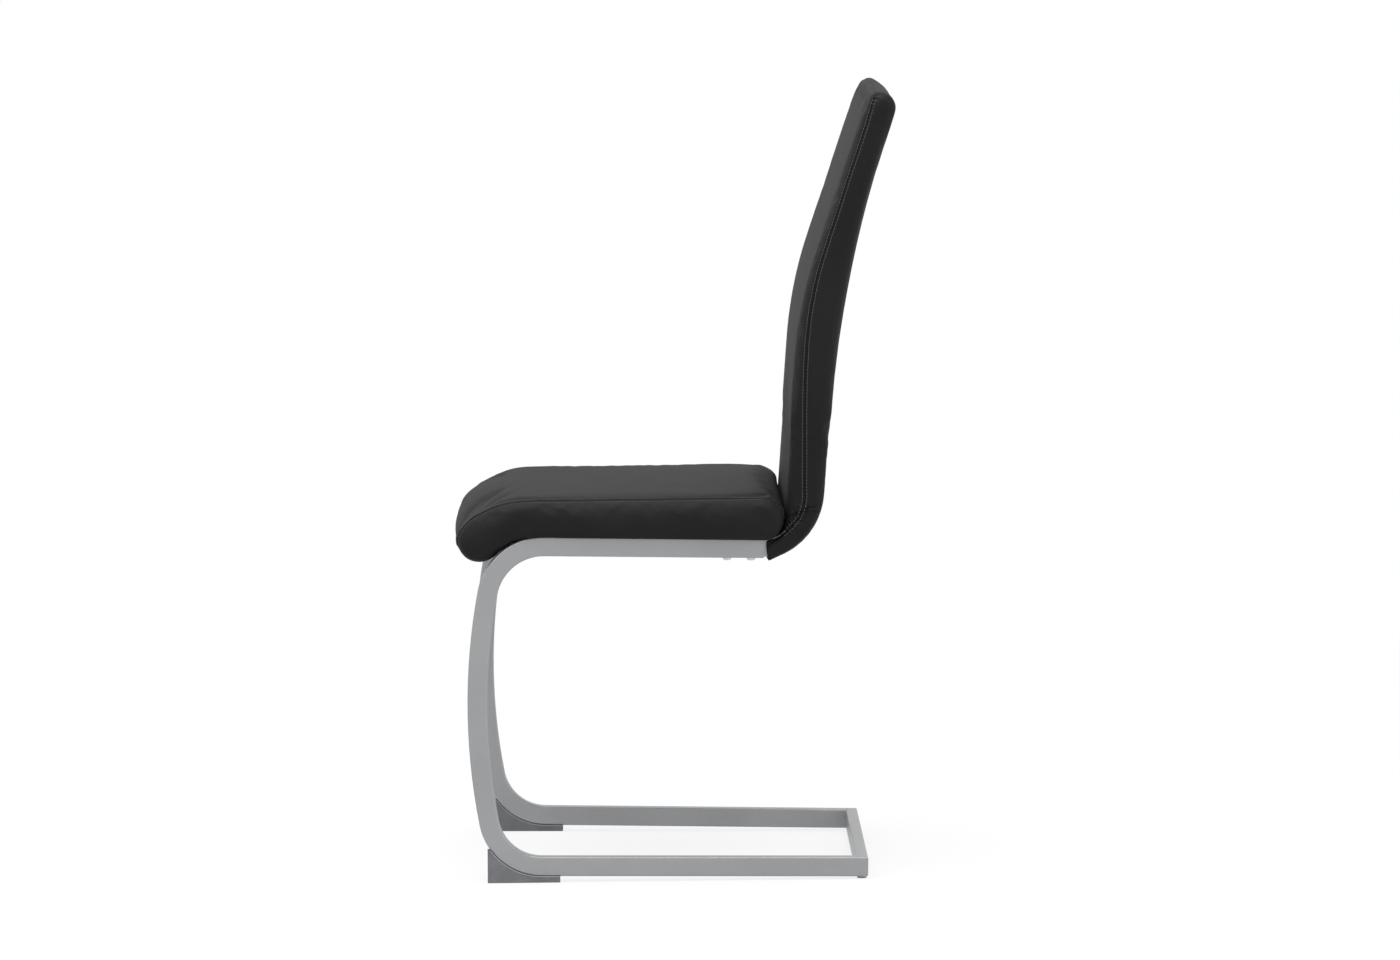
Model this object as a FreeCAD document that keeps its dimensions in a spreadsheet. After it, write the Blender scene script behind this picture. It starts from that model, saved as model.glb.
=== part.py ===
# Cantilever dining chair: a bent steel tube frame, an upholstered seat pad and a high upholstered back.
# Millimetres. +Z is up, the sitter faces -Y, and the origin is on the floor under the middle of the chair.
import FreeCAD, Part
import Sketcher
import os
from math import atan2, cos, degrees, hypot, radians, sin, sqrt, tan
from FreeCAD import Placement, Rotation, Vector

# Driving dimensions

sizes = {
    # side tubes: rounded rectangular steel tube, each bent in one plane; both planes toe in to the rear
    "tubeDepth": 25.0,
    "tubeWidth": 15.0,
    "tubeWall": 1.5,
    "tubeCorner": 2.5,
    "frameFrontWidth": 420.0,
    "toeAngle": 1.64,
    "postFront": -262.0,
    "postBulgeHeight": 221.8,
    "postRadius": 780.8,
    "upperBendRadius": 71.7,
    "lowerBendRadius": 68.0,
    "railEnd": 111.6,
    "railEndTop": 434.0,
    "railAngle": 1.0,
    "runnerEnd": 241.8,
    "runnerEndBottom": 3.1,
    "runnerAngle": 0.66,
    "weldGap": 0.05,
    # flat bars welded between the seat rails
    "barWidth": 30.0,
    "barThickness": 4.0,
    "frontBarSetback": 30.0,
    "rearBarSetback": 205.0,
    # wedge feet under the lower bends
    "footFront": -238.1,
    "footLength": 91.3,
    "footHeight": 41.0,
    "footWidth": 17.0,
    "footScrewDiameter": 4.2,
    "footScrewLength": 14.0,
    "footScrewHead": 8.0,
    "footScrewHeadHeight": 2.4,
    "footScrewInset": 12.0,
    "footScrewSpacing": 26.0,
    # round glides under the rear cross tube
    "glideDiameter": 12.0,
    "glideStemDiameter": 7.6,
    "glideStemLength": 9.0,
    "glideInset": 12.0,
    # back uprights: thinner tube that slides into the rear ends of the seat rails
    "slideGap": 0.2,
    "uprightWall": 2.0,
    "uprightInsertion": 66.0,
    "uprightFootRadius": 48.0,
    "uprightBendRadius": 500.0,
    "uprightTopGap": 30.0,
    "threadBlockLength": 54.0,
    # bolts that hold the uprights in the rails
    "boltDiameter": 6.0,
    "boltHeadDiameter": 10.5,
    "boltHeadHeight": 3.2,
    "boltLength": 12.0,
    "boltSocket": 4.0,
    "firstBolt": 65.1,
    "boltSpacing": 30.2,
    # backrest form; it overhangs the rear ends of the seat rails on both sides
    "backOverhang": 3.75,
    "overallHeight": 993.0,
    "backFootFront": 139.6,
    "backFootHeight": 478.0,
    "lowerLean": 4.1,
    "upperLean": 18.1,
    "backBendHeight": 725.2,
    "backFrontBendRadius": 510.0,
    "backRearBendRadius": 1450.0,
    "lowerThickness": 46.6,
    "upperThickness": 38.0,
    "topFrontRadius": 14.0,
    "topRearRadius": 16.0,
    "topCornerRadius": 15.0,
    "tailFront": 115.2,
    "tailBottom": 406.3,
    "tailAngle": 14.0,
    "tailRadius": 92.0,
    "tailSlant": 2.8,
    "tailEdgeRadius": 2.5,
    "backSeatRadius": 24.0,
    "backCrown": 3.0,
    "backEdgeRounding": 11.0,
    # back frame and padding
    "frontPadding": 9.0,
    "upperFrontPadding": 8.0,
    "backBarWidth": 24.0,
    "backBarThickness": 4.0,
    "strapWidth": 50.0,
    "strapThickness": 1.4,
    "hemStripHeight": 14.0,
    "hemStripThickness": 2.0,
    # seat pad form; it overhangs the frame, and setbacks run along the rails from its foremost point
    "seatOverhang": 5.0,
    "seatFront": -271.8,
    "seatSideTop": 483.5,
    "seatCrown": 7.0,
    "seatFrontCrown": 9.0,
    "seatEdgeRounding": 10.0,
    "seatRearLowerRadius": 24.0,
    "seatRearUpperRadius": 14.0,
    "seatRearRise": 36.0,
    "seatRearShoulder": 18.0,
    "seatRearShoulderRadius": 30.0,
    "noseShoulderSetback": 57.2,
    "noseShoulderRadius": 110.0,
    "noseBrowSetback": 11.2,
    "noseBrowHeight": 18.8,
    "noseBrowRadius": 60.0,
    "noseFrontHeight": -2.9,
    "noseFrontRadius": 30.0,
    "noseTipSetback": 18.7,
    "noseTipRadius": 20.0,
    "seatRollAngle": 34.0,
    "seatGap": 0.5,
    "coverThickness": 1.2,
    # seat board and its fixings; the board's sides lie inside the frame's front width
    "boardThickness": 12.0,
    "boardInset": 20.0,
    "boardFront": 2.0,
    "boardLength": 270.0,
    "boardCornerRadius": 24.0,
    "dustCoverMargin": 28.0,
    "seatScrewDiameter": 6.0,
    "seatScrewHead": 11.0,
    "seatScrewHeadHeight": 3.5,
    "seatScrewSpacing": 240.0,
    "washerDiameter": 14.0,
    "washerThickness": 1.5,
    "teeNutFlange": 18.0,
    "teeNutFlangeThickness": 1.2,
    "teeNutBarrel": 8.0,
    "holeGap": 0.3,
    "threadGap": 0.05,
}

doc = FreeCAD.newDocument("CantileverChair")
sheet = doc.addObject("Spreadsheet::Sheet", "Sizes")
sheetRow = 0


def record(name, value):
    """Writes one size into the sheet under its own alias and keeps it for the code below."""
    global sheetRow
    sheetRow += 1
    sheet.set("A%d" % sheetRow, name)
    sheet.set("B%d" % sheetRow, repr(float(value)))
    sheet.setAlias("B%d" % sheetRow, name)
    sizes[name] = float(value)


for sizeName in list(sizes):
    record(sizeName, sizes[sizeName])


def size(name):
    return sizes[name]


# Plane geometry of the side view, as (y, z) pairs

def lineDirection(angle):
    return (cos(radians(angle)), sin(radians(angle)))


def moved(point, direction, distance):
    return (point[0] + direction[0] * distance, point[1] + direction[1] * distance)


def crossing(pointA, directionA, pointB, directionB):
    """Where two lines meet."""
    det = directionA[0] * directionB[1] - directionA[1] * directionB[0]
    dy = pointB[0] - pointA[0]
    dz = pointB[1] - pointA[1]
    along = (dy * directionB[1] - dz * directionB[0]) / det
    return moved(pointA, directionA, along)


def bendCentre(end, direction, normal, radius, postCentre, postRadius):
    """Centre of a bend that runs from a straight tube into the bowed post."""
    start = moved(end, normal, radius)
    qy = start[0] - postCentre[0]
    qz = start[1] - postCentre[1]
    along = qy * direction[0] + qz * direction[1]
    rest = qy * qy + qz * qz - (postRadius - radius) ** 2
    return moved(start, direction, -(along + sqrt(along * along - rest)))


halfDepth = size("tubeDepth") / 2
halfTube = size("tubeWidth") / 2
railDirection = lineDirection(-size("railAngle"))
railNormal = (-railDirection[1], railDirection[0])
runnerDirection = lineDirection(-size("runnerAngle"))
runnerNormal = (-runnerDirection[1], runnerDirection[0])
railEndPoint = moved((size("railEnd"), size("railEndTop")), railNormal, -halfDepth)
runnerEndPoint = moved((size("runnerEnd"), size("runnerEndBottom")), runnerNormal, halfDepth)
postCentre = (size("postFront") + halfDepth + size("postRadius"), size("postBulgeHeight"))
upperCentre = bendCentre(railEndPoint, railDirection, (-railNormal[0], -railNormal[1]),
                         size("upperBendRadius"), postCentre, size("postRadius"))
lowerCentre = bendCentre(runnerEndPoint, runnerDirection, runnerNormal,
                         size("lowerBendRadius"), postCentre, size("postRadius"))

record("railEndY", railEndPoint[0])
record("railEndZ", railEndPoint[1])
record("runnerEndY", runnerEndPoint[0])
record("runnerEndZ", runnerEndPoint[1])
record("postCentreY", postCentre[0])
record("postCentreZ", postCentre[1])
record("lowerCentreY", lowerCentre[0])
record("lowerCentreZ", lowerCentre[1])

# Frames in which the pieces are placed

toe = radians(size("toeAngle"))
frontOffset = size("frameFrontWidth") / 2 - halfTube


def sidePlacement(side):
    """Side 1 is the sitter's left, side -1 the right; a side frame turns about the front of its post."""
    turn = Rotation(Vector(0, 0, 1), side * size("toeAngle"))
    front = Vector(side * frontOffset, size("postFront"), 0)
    return Placement(front - turn.multVec(Vector(0, size("postFront"), 0)), turn)


def tubeCentreX(y):
    """Distance of a side tube's middle plane from the chair's middle plane."""
    return frontOffset - (y - size("postFront")) * tan(toe)


record("backWidth", 2 * (tubeCentreX(size("railEnd")) + halfTube + size("backOverhang")))
record("seatWidth", size("frameFrontWidth") + 2 * size("seatOverhang"))
record("boardHalfWidth", size("frameFrontWidth") / 2 - size("boardInset"))

railOrigin = moved(upperCentre, railNormal, size("upperBendRadius") + halfDepth)
railFrame = Placement(Vector(0, railOrigin[0], railOrigin[1]), Rotation(Vector(1, 0, 0), -size("railAngle")))


def railY(along):
    return railOrigin[0] + along * railDirection[0]


# Sketch helpers: every size in a sketch is bound to a cell of the sheet

def originPlane(body, role):
    return [feature for feature in body.Origin.OriginFeatures if feature.Role == role][0]


nodes = {}


def addNode(kind, name, placement=None):
    """Adds a document object that is one piece of the chair, under its own name."""
    node = doc.addObject(kind, name)
    node.Label = name
    if placement is not None:
        node.Placement = placement
    nodes[name] = node
    return node


def addBody(name, placement=None):
    return addNode("PartDesign::Body", name, placement)


def settle(node):
    """Works out one piece and what it is made from, without the rest of the chair."""
    node.recompute(True)


def addSketch(body, name, role, offset=None):
    sketch = body.newObject("Sketcher::SketchObject", name)
    sketch.AttachmentSupport = [(originPlane(body, role), "")]
    sketch.MapMode = "FlatFace"
    if offset is not None:
        sketch.AttachmentOffset = offset
    return sketch


def bindConstraint(sketch, constraint, alias, factor=1, offset=0):
    index = sketch.addConstraint(constraint)
    sketch.setExpression("Constraints[%d]" % index, "Sizes.%s * %s + %s" % (alias, factor, offset))


def bindAngle(sketch, line, alias, factor=1, offset=0):
    """Holds the direction of a line, in degrees, at factor times a size plus an offset."""
    angle = radians(size(alias) * factor + offset)
    bindConstraint(sketch, Sketcher.Constraint("Angle", line, angle), alias, factor, offset)


def pin(sketch, geometry, point, across, up):
    """Holds a point of a sketch at two bound distances from the sketch's origin."""
    for kind, (alias, factor) in (("DistanceX", across), ("DistanceY", up)):
        distance = Sketcher.Constraint(kind, -1, 1, geometry, point, size(alias) * factor)
        bindConstraint(sketch, distance, alias, factor)


def polygonSketch(sketch, corners):
    """A closed outline; each corner is a pair of (alias, factor)."""
    points = [Vector(size(a) * f, size(b) * g, 0) for (a, f), (b, g) in corners]
    count = len(points)
    for i in range(count):
        sketch.addGeometry(Part.LineSegment(points[i], points[(i + 1) % count]), False)
    for i in range(count):
        sketch.addConstraint(Sketcher.Constraint("Coincident", i, 2, (i + 1) % count, 1))
        pin(sketch, i, 1, corners[i][0], corners[i][1])


def circleSketch(sketch, places, diameter):
    """Round holes; each place is a pair of (alias, factor)."""
    for i, (across, up) in enumerate(places):
        centre = Vector(size(across[0]) * across[1], size(up[0]) * up[1], 0)
        sketch.addGeometry(Part.Circle(centre, Vector(0, 0, 1), size(diameter) / 2), False)
        pin(sketch, i, 3, across, up)
        bindConstraint(sketch, Sketcher.Constraint("Diameter", i, size(diameter)), diameter)


def tubeSketch(sketch, width, depth, corner):
    """A rectangle with rounded corners about the sketch's origin."""
    w = size(width) / 2
    d = size(depth) / 2
    r = size(corner)
    up = Vector(0, 0, 1)
    bottom = sketch.addGeometry(Part.LineSegment(Vector(-w + r, -d, 0), Vector(w - r, -d, 0)), False)
    right = sketch.addGeometry(Part.LineSegment(Vector(w, -d + r, 0), Vector(w, d - r, 0)), False)
    top = sketch.addGeometry(Part.LineSegment(Vector(w - r, d, 0), Vector(-w + r, d, 0)), False)
    left = sketch.addGeometry(Part.LineSegment(Vector(-w, d - r, 0), Vector(-w, -d + r, 0)), False)
    arcs = []
    for x, y, start in ((w - r, -d + r, 270), (w - r, d - r, 0), (-w + r, d - r, 90), (-w + r, -d + r, 180)):
        circle = Part.Circle(Vector(x, y, 0), up, r)
        arcs.append(sketch.addGeometry(Part.ArcOfCircle(circle, radians(start), radians(start + 90)), False))
    sides = [bottom, right, top, left]
    for i in range(4):
        sketch.addConstraint(Sketcher.Constraint("Tangent", sides[i], 2, arcs[i], 1))
        sketch.addConstraint(Sketcher.Constraint("Tangent", arcs[i], 2, sides[(i + 1) % 4], 1))
    for side, kind in ((bottom, "Horizontal"), (right, "Vertical"), (top, "Horizontal"), (left, "Vertical")):
        sketch.addConstraint(Sketcher.Constraint(kind, side))
    for i in (1, 2, 3):
        sketch.addConstraint(Sketcher.Constraint("Equal", arcs[0], arcs[i]))
    sketch.addConstraint(Sketcher.Constraint("Symmetric", arcs[0], 3, arcs[2], 3, -1, 1))
    bindConstraint(sketch, Sketcher.Constraint("Radius", arcs[0], r), corner)
    bindConstraint(sketch, Sketcher.Constraint("DistanceX", left, 1, right, 1, 2 * w), width)
    bindConstraint(sketch, Sketcher.Constraint("DistanceY", bottom, 1, top, 1, 2 * d), depth)


def pad(body, name, sketch, length, centred=False, downwards=False):
    feature = body.newObject("PartDesign::Pad", name)
    feature.Profile = sketch
    feature.Length = size(length)
    feature.setExpression("Length", "Sizes.%s" % length)
    feature.Midplane = centred
    feature.Reversed = downwards
    settle(body)
    return feature


def pocket(body, name, sketch, length=None, upwards=False):
    """Cuts to a bound depth, or right through both ways, and must take material away."""
    before = body.Shape.Volume
    feature = body.newObject("PartDesign::Pocket", name)
    feature.Profile = sketch
    if length is None:
        feature.Type = "ThroughAll"
        feature.Midplane = True
    else:
        feature.Length = size(length)
        feature.setExpression("Length", "Sizes.%s" % length)
        feature.Reversed = upwards
    settle(body)
    if not body.Shape.Volume < before - 1e-3:
        raise RuntimeError("%s removed nothing from %s" % (name, body.Label))
    return feature


def pipe(body, kind, name, profile, path):
    feature = body.newObject("PartDesign::" + kind, name)
    feature.Profile = profile
    feature.Spine = path
    settle(body)
    return feature


def sectionOffset(end, angle):
    """Puts a section across a tube whose straight end falls by this angle."""
    return Placement(Vector(0, end[1], -end[0]), Rotation(Vector(1, 0, 0), -angle))


def arcBetween(centre, radius, start, end):
    """The shorter arc between two angles in degrees, with the angle it starts from first."""
    circle = Part.Circle(Vector(centre[0], centre[1], 0), Vector(0, 0, 1), radius)
    return Part.ArcOfCircle(circle, radians(start), radians(end))


# Side tubes: runner on the floor, bowed post and seat rail bent from one length

record("innerWidth", size("tubeWidth") - 2 * size("tubeWall"))
record("innerDepth", size("tubeDepth") - 2 * size("tubeWall"))
record("innerCorner", size("tubeCorner") - size("tubeWall"))
mitreAngle = (90 - size("toeAngle")) / 2
mitreReach = 0.2
mitreFall = size("tubeWidth") * tan(radians(mitreAngle))
record("mitreOuterX", halfTube + mitreReach * size("tubeWidth"))
record("mitreOuterY", size("runnerEnd") + mitreReach * mitreFall - size("weldGap"))
record("mitreInnerY", size("runnerEnd") - (1 + mitreReach) * mitreFall - size("weldGap"))
record("footScrewHole", size("footScrewDiameter") + size("holeGap"))
record("footRear", size("footFront") + size("footLength"))
record("rearFootScrew", size("footRear") - size("footScrewInset"))
record("frontFootScrew", size("rearFootScrew") - size("footScrewSpacing"))
record("footScrewCut", size("footScrewLength"))
record("boltHole", size("boltDiameter") + size("holeGap"))
record("secondBolt", size("firstBolt") + size("boltSpacing"))
record("boltCut", halfDepth + size("tubeWall"))
record("nowhere", 0)


def angleFrom(centre, point):
    return degrees(Vector(1, 0, 0).getAngle(Vector(point[0] - centre[0], point[1] - centre[1], 0)))


def sideTubePath(sketch):
    """Rail, upper bend, bowed post, lower bend and runner, tangent to each other."""
    railStart = moved(upperCentre, railNormal, size("upperBendRadius"))
    runnerStart = moved(lowerCentre, runnerNormal, -size("lowerBendRadius"))
    toUpper = angleFrom(postCentre, upperCentre)
    toLower = 360 - angleFrom(postCentre, lowerCentre)
    railUp = 90 - size("railAngle")
    runnerDown = 270 - size("runnerAngle")
    sketch.addGeometry(Part.LineSegment(Vector(*railEndPoint, 0), Vector(*railStart, 0)), False)
    sketch.addGeometry(arcBetween(upperCentre, size("upperBendRadius"), railUp, toUpper), False)
    sketch.addGeometry(arcBetween(postCentre, size("postRadius"), toUpper, toLower), False)
    sketch.addGeometry(arcBetween(lowerCentre, size("lowerBendRadius"), toLower, runnerDown), False)
    sketch.addGeometry(Part.LineSegment(Vector(*runnerStart, 0), Vector(*runnerEndPoint, 0)), False)
    for i in range(4):
        sketch.addConstraint(Sketcher.Constraint("Tangent", i, 2, i + 1, 1))
    pin(sketch, 0, 1, ("railEndY", 1), ("railEndZ", 1))
    pin(sketch, 4, 2, ("runnerEndY", 1), ("runnerEndZ", 1))
    pin(sketch, 2, 3, ("postCentreY", 1), ("postCentreZ", 1))
    for i, radius in ((1, "upperBendRadius"), (2, "postRadius"), (3, "lowerBendRadius")):
        bindConstraint(sketch, Sketcher.Constraint("Radius", i, size(radius)), radius)
    bindAngle(sketch, 0, "railAngle", -1, 180)
    bindAngle(sketch, 4, "runnerAngle", -1)


def onMiddle(*aliases):
    """Places on a side frame's middle plane."""
    return [(("nowhere", 1), (alias, 1)) for alias in aliases]


def cutBoltHoles(body, name):
    """Cuts the frame bolts' holes through the underside of a tube, from its middle down."""
    level = Placement(Vector(0, 0, size("railEndZ")), Rotation())
    holes = addSketch(body, name + "_bolt_holes", "XY_Plane", level)
    holes.setExpression("AttachmentOffset.Base.z", "Sizes.railEndZ")
    circleSketch(holes, onMiddle("firstBolt", "secondBolt"), "boltHole")
    pocket(body, name + "_bolt_cut", holes, "boltCut")


def makeSideTube(name, side):
    body = addBody(name, sidePlacement(side))
    path = addSketch(body, name + "_path", "YZ_Plane")
    sideTubePath(path)
    outer = addSketch(body, name + "_section", "XZ_Plane", sectionOffset(railEndPoint, size("railAngle")))
    tubeSketch(outer, "tubeWidth", "tubeDepth", "tubeCorner")
    inner = addSketch(body, name + "_bore", "XZ_Plane", sectionOffset(railEndPoint, size("railAngle")))
    tubeSketch(inner, "innerWidth", "innerDepth", "innerCorner")
    settle(body)
    pipe(body, "AdditivePipe", name + "_tube", outer, path)
    pipe(body, "SubtractivePipe", name + "_hollow", inner, path)
    mitre = addSketch(body, name + "_mitre", "XY_Plane")
    polygonSketch(mitre, [(("mitreOuterX", side), ("mitreOuterY", 1)),
                          (("mitreOuterX", -side), ("mitreOuterY", 1)),
                          (("mitreOuterX", -side), ("mitreInnerY", 1))])
    pocket(body, name + "_mitre_cut", mitre)
    screwHoles = addSketch(body, name + "_screw_holes", "XY_Plane")
    circleSketch(screwHoles, onMiddle("frontFootScrew", "rearFootScrew"), "footScrewHole")
    pocket(body, name + "_screw_cut", screwHoles, "footScrewCut", upwards=True)
    cutBoltHoles(body, name)
    return body


sideTubes = {"left": makeSideTube("side_tube_left", 1), "right": makeSideTube("side_tube_right", -1)}

# Rear cross tube: lies between the runners, mitred and welded at both corners

def outerTip(side=1):
    """The rear outer corner of a runner, seen from above."""
    return sidePlacement(side).multVec(Vector(side * halfTube, size("runnerEnd"), 0))


tip = outerTip()
runnerEndFrame = Placement(Vector(0, tip.y, size("runnerEndBottom")),
                           Rotation(Vector(1, 0, 0), -size("runnerAngle")))
record("crossLength", 2 * tip.x)
record("crossOuterX", tip.x + mitreReach * mitreFall)
record("crossInnerX", tip.x - (1 + mitreReach) * mitreFall)
record("crossOuterY", mitreReach * size("tubeWidth"))
record("crossInnerY", -(1 + mitreReach) * size("tubeWidth"))
record("glideHoleX", tip.x - size("glideInset"))
record("glideHoleY", -halfTube)
record("glideHole", size("glideStemDiameter") + size("holeGap"))
record("glideHoleCut", 2 * size("tubeWall"))


def makeCrossTube(name):
    body = addBody(name, runnerEndFrame)
    middle = Placement(Vector(-halfTube, halfDepth, 0), Rotation())
    outer = addSketch(body, name + "_section", "YZ_Plane", middle)
    tubeSketch(outer, "tubeWidth", "tubeDepth", "tubeCorner")
    inner = addSketch(body, name + "_bore", "YZ_Plane", middle)
    tubeSketch(inner, "innerWidth", "innerDepth", "innerCorner")
    for sketch in (outer, inner):
        sketch.setExpression("AttachmentOffset.Base.x", "-Sizes.tubeWidth / 2")
        sketch.setExpression("AttachmentOffset.Base.y", "Sizes.tubeDepth / 2")
    settle(body)
    pad(body, name + "_tube", outer, "crossLength", centred=True)
    pocket(body, name + "_hollow", inner)
    for side, label in ((1, "left"), (-1, "right")):
        mitre = addSketch(body, name + "_mitre_" + label, "XY_Plane")
        polygonSketch(mitre, [(("crossOuterX", side), ("crossOuterY", 1)),
                              (("crossOuterX", side), ("crossInnerY", 1)),
                              (("crossInnerX", side), ("crossInnerY", 1))])
        pocket(body, name + "_mitre_cut_" + label, mitre)
    holes = addSketch(body, name + "_glide_holes", "XY_Plane")
    circleSketch(holes, [(("glideHoleX", 1), ("glideHoleY", 1)), (("glideHoleX", -1), ("glideHoleY", 1))],
                 "glideHole")
    pocket(body, name + "_glide_cut", holes, "glideHoleCut", upwards=True)
    return body


crossTube = makeCrossTube("rear_cross_tube")

# Rear glides: a round foot with a stem pressed into the cross tube

glideFall = tan(radians(size("runnerAngle"))) * size("glideDiameter") / 2
glideCentre = runnerEndFrame.multVec(Vector(size("glideHoleX"), size("glideHoleY"), 0))
record("glideHeight", glideCentre.z / cos(radians(size("runnerAngle"))) - glideFall)
record("glideRadius", size("glideDiameter") / 2)
record("glideStemRadius", size("glideStemDiameter") / 2)


def makeGlide(name, side):
    place = Placement(Vector(side * size("glideHoleX"), size("glideHoleY"), 0), Rotation())
    body = addBody(name, runnerEndFrame * place)
    profile = addSketch(body, name + "_profile", "XZ_Plane")
    polygonSketch(profile, [(("nowhere", 1), ("glideHeight", -1)), (("glideRadius", 1), ("glideHeight", -1)),
                            (("glideRadius", 1), ("nowhere", 1)), (("glideStemRadius", 1), ("nowhere", 1)),
                            (("glideStemRadius", 1), ("glideStemLength", 1)),
                            (("nowhere", 1), ("glideStemLength", 1))])
    turned = body.newObject("PartDesign::Revolution", name + "_turned")
    turned.Profile = profile
    turned.ReferenceAxis = (profile, ["V_Axis"])
    turned.Angle = 360
    settle(body)
    return body


glides = {"left": makeGlide("rear_glide_left", 1), "right": makeGlide("rear_glide_right", -1)}

# Flat bars welded between the seat rails, level with their tops

def makeSeatBar(name, setback):
    front = size(setback)
    rear = front + size("barWidth")
    half = []
    for along in (front, rear):
        half.append(tubeCentreX(railY(along)) - halfTube / cos(toe) - size("weldGap"))
    record(name + "_frontHalf", half[0])
    record(name + "_rearHalf", half[1])
    record(name + "_rear", rear)
    body = addBody(name, railFrame)
    outline = addSketch(body, name + "_outline", "XY_Plane")
    polygonSketch(outline, [((name + "_frontHalf", -1), (setback, 1)),
                            ((name + "_frontHalf", 1), (setback, 1)),
                            ((name + "_rearHalf", 1), (name + "_rear", 1)),
                            ((name + "_rearHalf", -1), (name + "_rear", 1))])
    pad(body, name + "_plate", outline, "barThickness", downwards=True)
    record(name + "_holeY", (front + rear) / 2)
    holes = addSketch(body, name + "_holes", "XY_Plane")
    circleSketch(holes, [(("seatScrewX", side), (name + "_holeY", 1)) for side in (1, -1)], "seatScrewHole")
    pocket(body, name + "_cut", holes)
    return body


record("seatScrewX", size("seatScrewSpacing") / 2)
record("seatScrewHole", size("seatScrewDiameter") + size("holeGap"))
frontBar = makeSeatBar("front_seat_bar", "frontBarSetback")
rearBar = makeSeatBar("rear_seat_bar", "rearBarSetback")

# Wedge feet: flat below, and hollowed above to the outside of the lower bend

record("footBendRadius", size("lowerBendRadius") + halfDepth)
footRunnerFront = moved(lowerCentre, runnerNormal, -size("footBendRadius"))
footRunnerRear = moved(footRunnerFront, runnerDirection, size("footLength"))
record("footRunnerFrontY", footRunnerFront[0])
record("footRunnerFrontZ", footRunnerFront[1])
record("footRunnerRearY", footRunnerRear[0])
record("footRunnerRearZ", footRunnerRear[1])
record("footCutHeight", size("footHeight") * 2)
record("footHeadHole", size("footScrewHead") + size("holeGap"))
record("footHeadDepth", size("footScrewHeadHeight") + size("holeGap"))


def makeFoot(name, side):
    body = addBody(name, sidePlacement(side))
    block = addSketch(body, name + "_block", "YZ_Plane")
    polygonSketch(block, [(("footFront", 1), ("nowhere", 1)), (("footRear", 1), ("nowhere", 1)),
                          (("footRear", 1), ("footHeight", 1)), (("footFront", 1), ("footHeight", 1))])
    pad(body, name + "_wedge", block, "footWidth", centred=True)
    bend = addSketch(body, name + "_bend", "YZ_Plane")
    circleSketch(bend, [(("lowerCentreY", 1), ("lowerCentreZ", 1))], "footBendDiameter")
    pocket(body, name + "_bend_cut", bend)
    runner = addSketch(body, name + "_runner", "YZ_Plane")
    polygonSketch(runner, [(("footRunnerFrontY", 1), ("footRunnerFrontZ", 1)),
                           (("footRunnerRearY", 1), ("footRunnerRearZ", 1)),
                           (("footRunnerRearY", 1), ("footCutHeight", 1)),
                           (("footRunnerFrontY", 1), ("footCutHeight", 1))])
    pocket(body, name + "_runner_cut", runner)
    places = onMiddle("frontFootScrew", "rearFootScrew")
    holes = addSketch(body, name + "_holes", "XY_Plane")
    circleSketch(holes, places, "footScrewHole")
    pocket(body, name + "_hole_cut", holes)
    heads = addSketch(body, name + "_heads", "XY_Plane")
    circleSketch(heads, places, "footHeadHole")
    pocket(body, name + "_head_cut", heads, "footHeadDepth", upwards=True)
    return body


record("footBendDiameter", 2 * size("footBendRadius"))
feet = {"left": makeFoot("front_foot_left", 1), "right": makeFoot("front_foot_right", -1)}

# Solids made straight from the sheet's sizes

def addSolid(name, shape, placement=None):
    node = addNode("Part::Feature", name)
    node.Shape = shape
    if placement is not None:
        node.Placement = placement
    return node


def bindSizes(feature, aliases):
    """Binds properties of a primitive to cells of the sheet."""
    for field, alias in aliases.items():
        feature.setExpression(field, "Sizes." + alias)


def placeBox(box, lengthAlias, widthAlias, heightAlias, frame, corner):
    """Sizes a box from the sheet and puts its corner at a place in a frame."""
    bindSizes(box, {"Length": lengthAlias, "Width": widthAlias, "Height": heightAlias})
    box.Placement = frame * Placement(Vector(*corner), Rotation())
    settle(box)
    return box


def disc(diameter, height, base=0.0, x=0.0, y=0.0):
    return Part.makeCylinder(diameter / 2, height, Vector(x, y, base), Vector(0, 0, 1))


def screwShape(shank, length, head, headHeight, socket, socketDepth):
    """A screw that points up; its head hangs below z = 0 and has a hexagon socket."""
    shape = disc(shank, length).fuse(disc(head, headHeight, -headHeight))
    corners = [Vector(socket / 2 / cos(radians(30)) * cos(radians(60 * i)),
                      socket / 2 / cos(radians(30)) * sin(radians(60 * i)), -headHeight) for i in range(6)]
    hexagon = Part.Face(Part.makePolygon(corners + corners[:1]))
    return shape.cut(hexagon.extrude(Vector(0, 0, socketDepth))).removeSplitter()


def placedCopies(shape, placements):
    copies = []
    for place in placements:
        copy = shape.copy()
        copy.Placement = place * shape.Placement
        copies.append(copy)
    return Part.makeCompound(copies)


socketShare = 0.45
footScrew = screwShape(size("footScrewDiameter"), size("footScrewLength"), size("footScrewHead"),
                       size("footScrewHeadHeight"), size("footScrewHead") * socketShare,
                       size("footScrewHeadHeight") * socketShare)
footScrewPlaces = []
for side in (1, -1):
    for along in ("frontFootScrew", "rearFootScrew"):
        seat = Placement(Vector(0, size(along), size("footHeadDepth")), Rotation())
        footScrewPlaces.append(sidePlacement(side) * seat)
footScrews = addSolid("foot_screws", placedCopies(footScrew, footScrewPlaces))

# Backrest outline in the side view: a polygon whose corners are rounded, so that it can be drawn in evenly

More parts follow.
